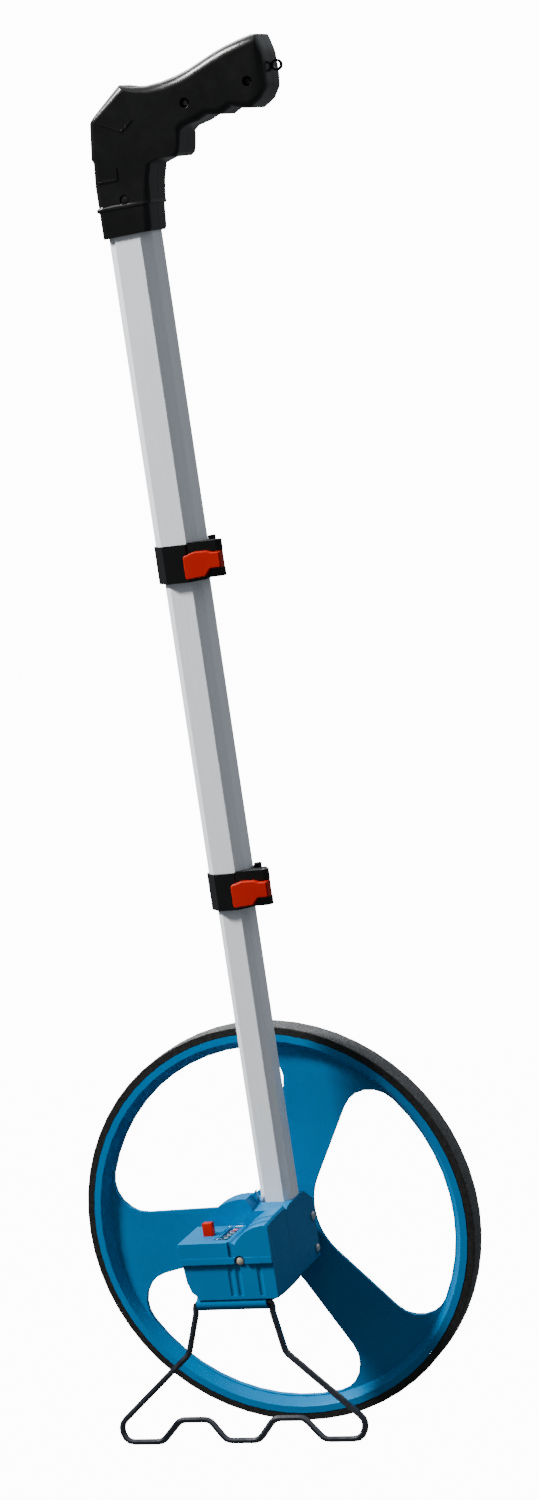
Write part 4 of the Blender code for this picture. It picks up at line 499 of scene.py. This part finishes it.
def build_spring():
    """The return spring: a smoothed copy of the CAD coil on the reset button's parent body."""
    node = NODES["reset_spring"]
    joint = JOINTS["reset_press"]
    line = Vector(joint["axis"]).normalized()
    reach = [vert.co.dot(line) for vert in node.data.vertices]
    low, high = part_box("reset_spring")
    foot = (low + high) / 2
    foot += line * (max(reach) - foot.dot(line))
    mesh = node.data.copy()
    mesh.name = "reset_coil"
    piece = add_piece("reset_coil", mesh, joint["parent"], "plated_steel")
    smooth_node(piece)
    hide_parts("reset_spring")
    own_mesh(piece)


# Floor, light and camera. Lengths are metres and powers are watts.

# The flat floor's radius, the radius of its bend up to the wall, and the wall's top
STAGE_FLAT = 12.0
STAGE_BEND = 3.0
STAGE_TOP = 16.0
STAGE_STEPS = 64
BEND_STEPS = 10
STAGE_GLOW = 13.0
STAGE_WAVES = 3.0
STAGE_TONES = ((0.90, 0.90, 0.90), (0.92, 0.92, 0.92))

# The sky is bright overhead and dim at the horizon, so upright faces keep their colour.
SKY_COLOUR = (0.90, 0.95, 1.0)
SKY_FADE = {"From Min": 0.2, "From Max": 0.9, "To Min": 0.16, "To Max": 1.0}

# Each light: name, place, what it is aimed at, side, power and colour
LIGHTS = (
    ("key_light", (-2.23, -1.87, 2.89), (0.0, 0.0, 0.45), 0.6, 370.0, (1.0, 0.98, 0.96)),
    ("crown_light", (-1.5, 1.0, 2.7), (0.0, -0.2, 1.0), 1.6, 60.0, WHITE),
)

# Camera, solved from the photo in the tool's frame
CAMERA_PLACE = Vector((0.9651, -2.3781, 0.7441))
CAMERA_RIGHT = Vector((0.9310, 0.3350, -0.1449))
CAMERA_UP = Vector((0.0853, 0.1863, 0.9788))
CAMERA_BACK = Vector((0.3549, -0.9236, 0.1449))
FOCAL_PIXELS = 3422.0
LONG_SIDE_PIXELS = 1500.0
SENSOR_MM = 36.0
CLIP_START = 0.05
CLIP_END = 50.0


def build_stage():
    """A white studio all round, so that it looks the same from every side."""
    line = [(STAGE_FLAT, 0.0)]
    for i in range(1, BEND_STEPS + 1):
        angle = math.pi / 2 * i / BEND_STEPS
        reach = STAGE_FLAT + STAGE_BEND * math.sin(angle)
        line.append((reach, STAGE_BEND * (1 - math.cos(angle))))
    line.append((STAGE_FLAT + STAGE_BEND, STAGE_TOP))
    turns = [2 * math.pi * i / STAGE_STEPS for i in range(STAGE_STEPS)]
    made = bmesh.new()
    rows = []
    for reach, height in line:
        row = [(reach * math.cos(turn), reach * math.sin(turn), height) for turn in turns]
        rows.append([made.verts.new(corner) for corner in row])
    made.faces.new(rows[0])
    for low_row, high_row in zip(rows, rows[1:]):
        for i in range(STAGE_STEPS):
            j = (i + 1) % STAGE_STEPS
            made.faces.new((low_row[i], low_row[j], high_row[j], high_row[i]))
    mesh = new_mesh("backdrop", made)
    mesh.shade_smooth()
    look = Look("backdrop", roughness=0.9, specular=0.1)
    look.colour(look.mix(look.noise(STAGE_WAVES), *STAGE_TONES))
    look.constant("Emission Color", (*WHITE, 1))
    look.constant("Emission Strength", STAGE_GLOW)
    mesh.materials.append(look.made)
    floor = add_object("backdrop", mesh)
    # It shows white, as in the photo. It doesn't light the object, shine in it or hide the sky.
    floor.visible_diffuse = False
    floor.visible_glossy = False
    floor.visible_shadow = False


def build_sky():
    """Soft light from all round, by how high its part of the sky is."""
    scene = bpy.context.scene
    scene.world = scene.world or bpy.data.worlds.new("world")
    scene.world.use_nodes = True
    tree = scene.world.node_tree
    shade = tree.nodes["Background"]
    shade.inputs["Color"].default_value = (*SKY_COLOUR, 1)
    source = tree.nodes.new("ShaderNodeTexCoord")
    split = tree.nodes.new("ShaderNodeSeparateXYZ")
    fade = tree.nodes.new("ShaderNodeMapRange")
    for name, value in SKY_FADE.items():
        fade.inputs[name].default_value = value
    tree.links.new(source.outputs["Generated"], split.inputs["Vector"])
    tree.links.new(split.outputs["Z"], fade.inputs["Value"])
    tree.links.new(fade.outputs["Result"], shade.inputs["Strength"])


def build_lights():
    """Square studio lights, each aimed at a point on the tool."""
    for name, place, target, side, power, colour in LIGHTS:
        light = bpy.data.lights.new(name, "AREA")
        light.shape = "RECTANGLE"
        light.size = side
        light.size_y = side
        light.energy = power
        light.color = colour
        made = add_object(name, light)
        made.location = place
        made.rotation_mode = "QUATERNION"
        made.rotation_quaternion = (Vector(target) - Vector(place)).to_track_quat("-Z", "Y")


def build_camera():
    """The photo's camera."""
    lens = bpy.data.cameras.new("camera")
    lens.sensor_width = SENSOR_MM
    lens.lens = FOCAL_PIXELS / LONG_SIDE_PIXELS * SENSOR_MM
    lens.clip_start = CLIP_START
    lens.clip_end = CLIP_END
    made = add_object("camera", lens)
    turn = Matrix((CAMERA_RIGHT, CAMERA_UP, CAMERA_BACK)).transposed().to_4x4()
    made.matrix_world = TOOL @ Matrix.Translation(CAMERA_PLACE) @ turn
    bpy.context.scene.camera = made


dress_nodes()
build_digits()
build_tyre_seat()
build_spring()
build_stage()
build_sky()
build_lights()
build_camera()
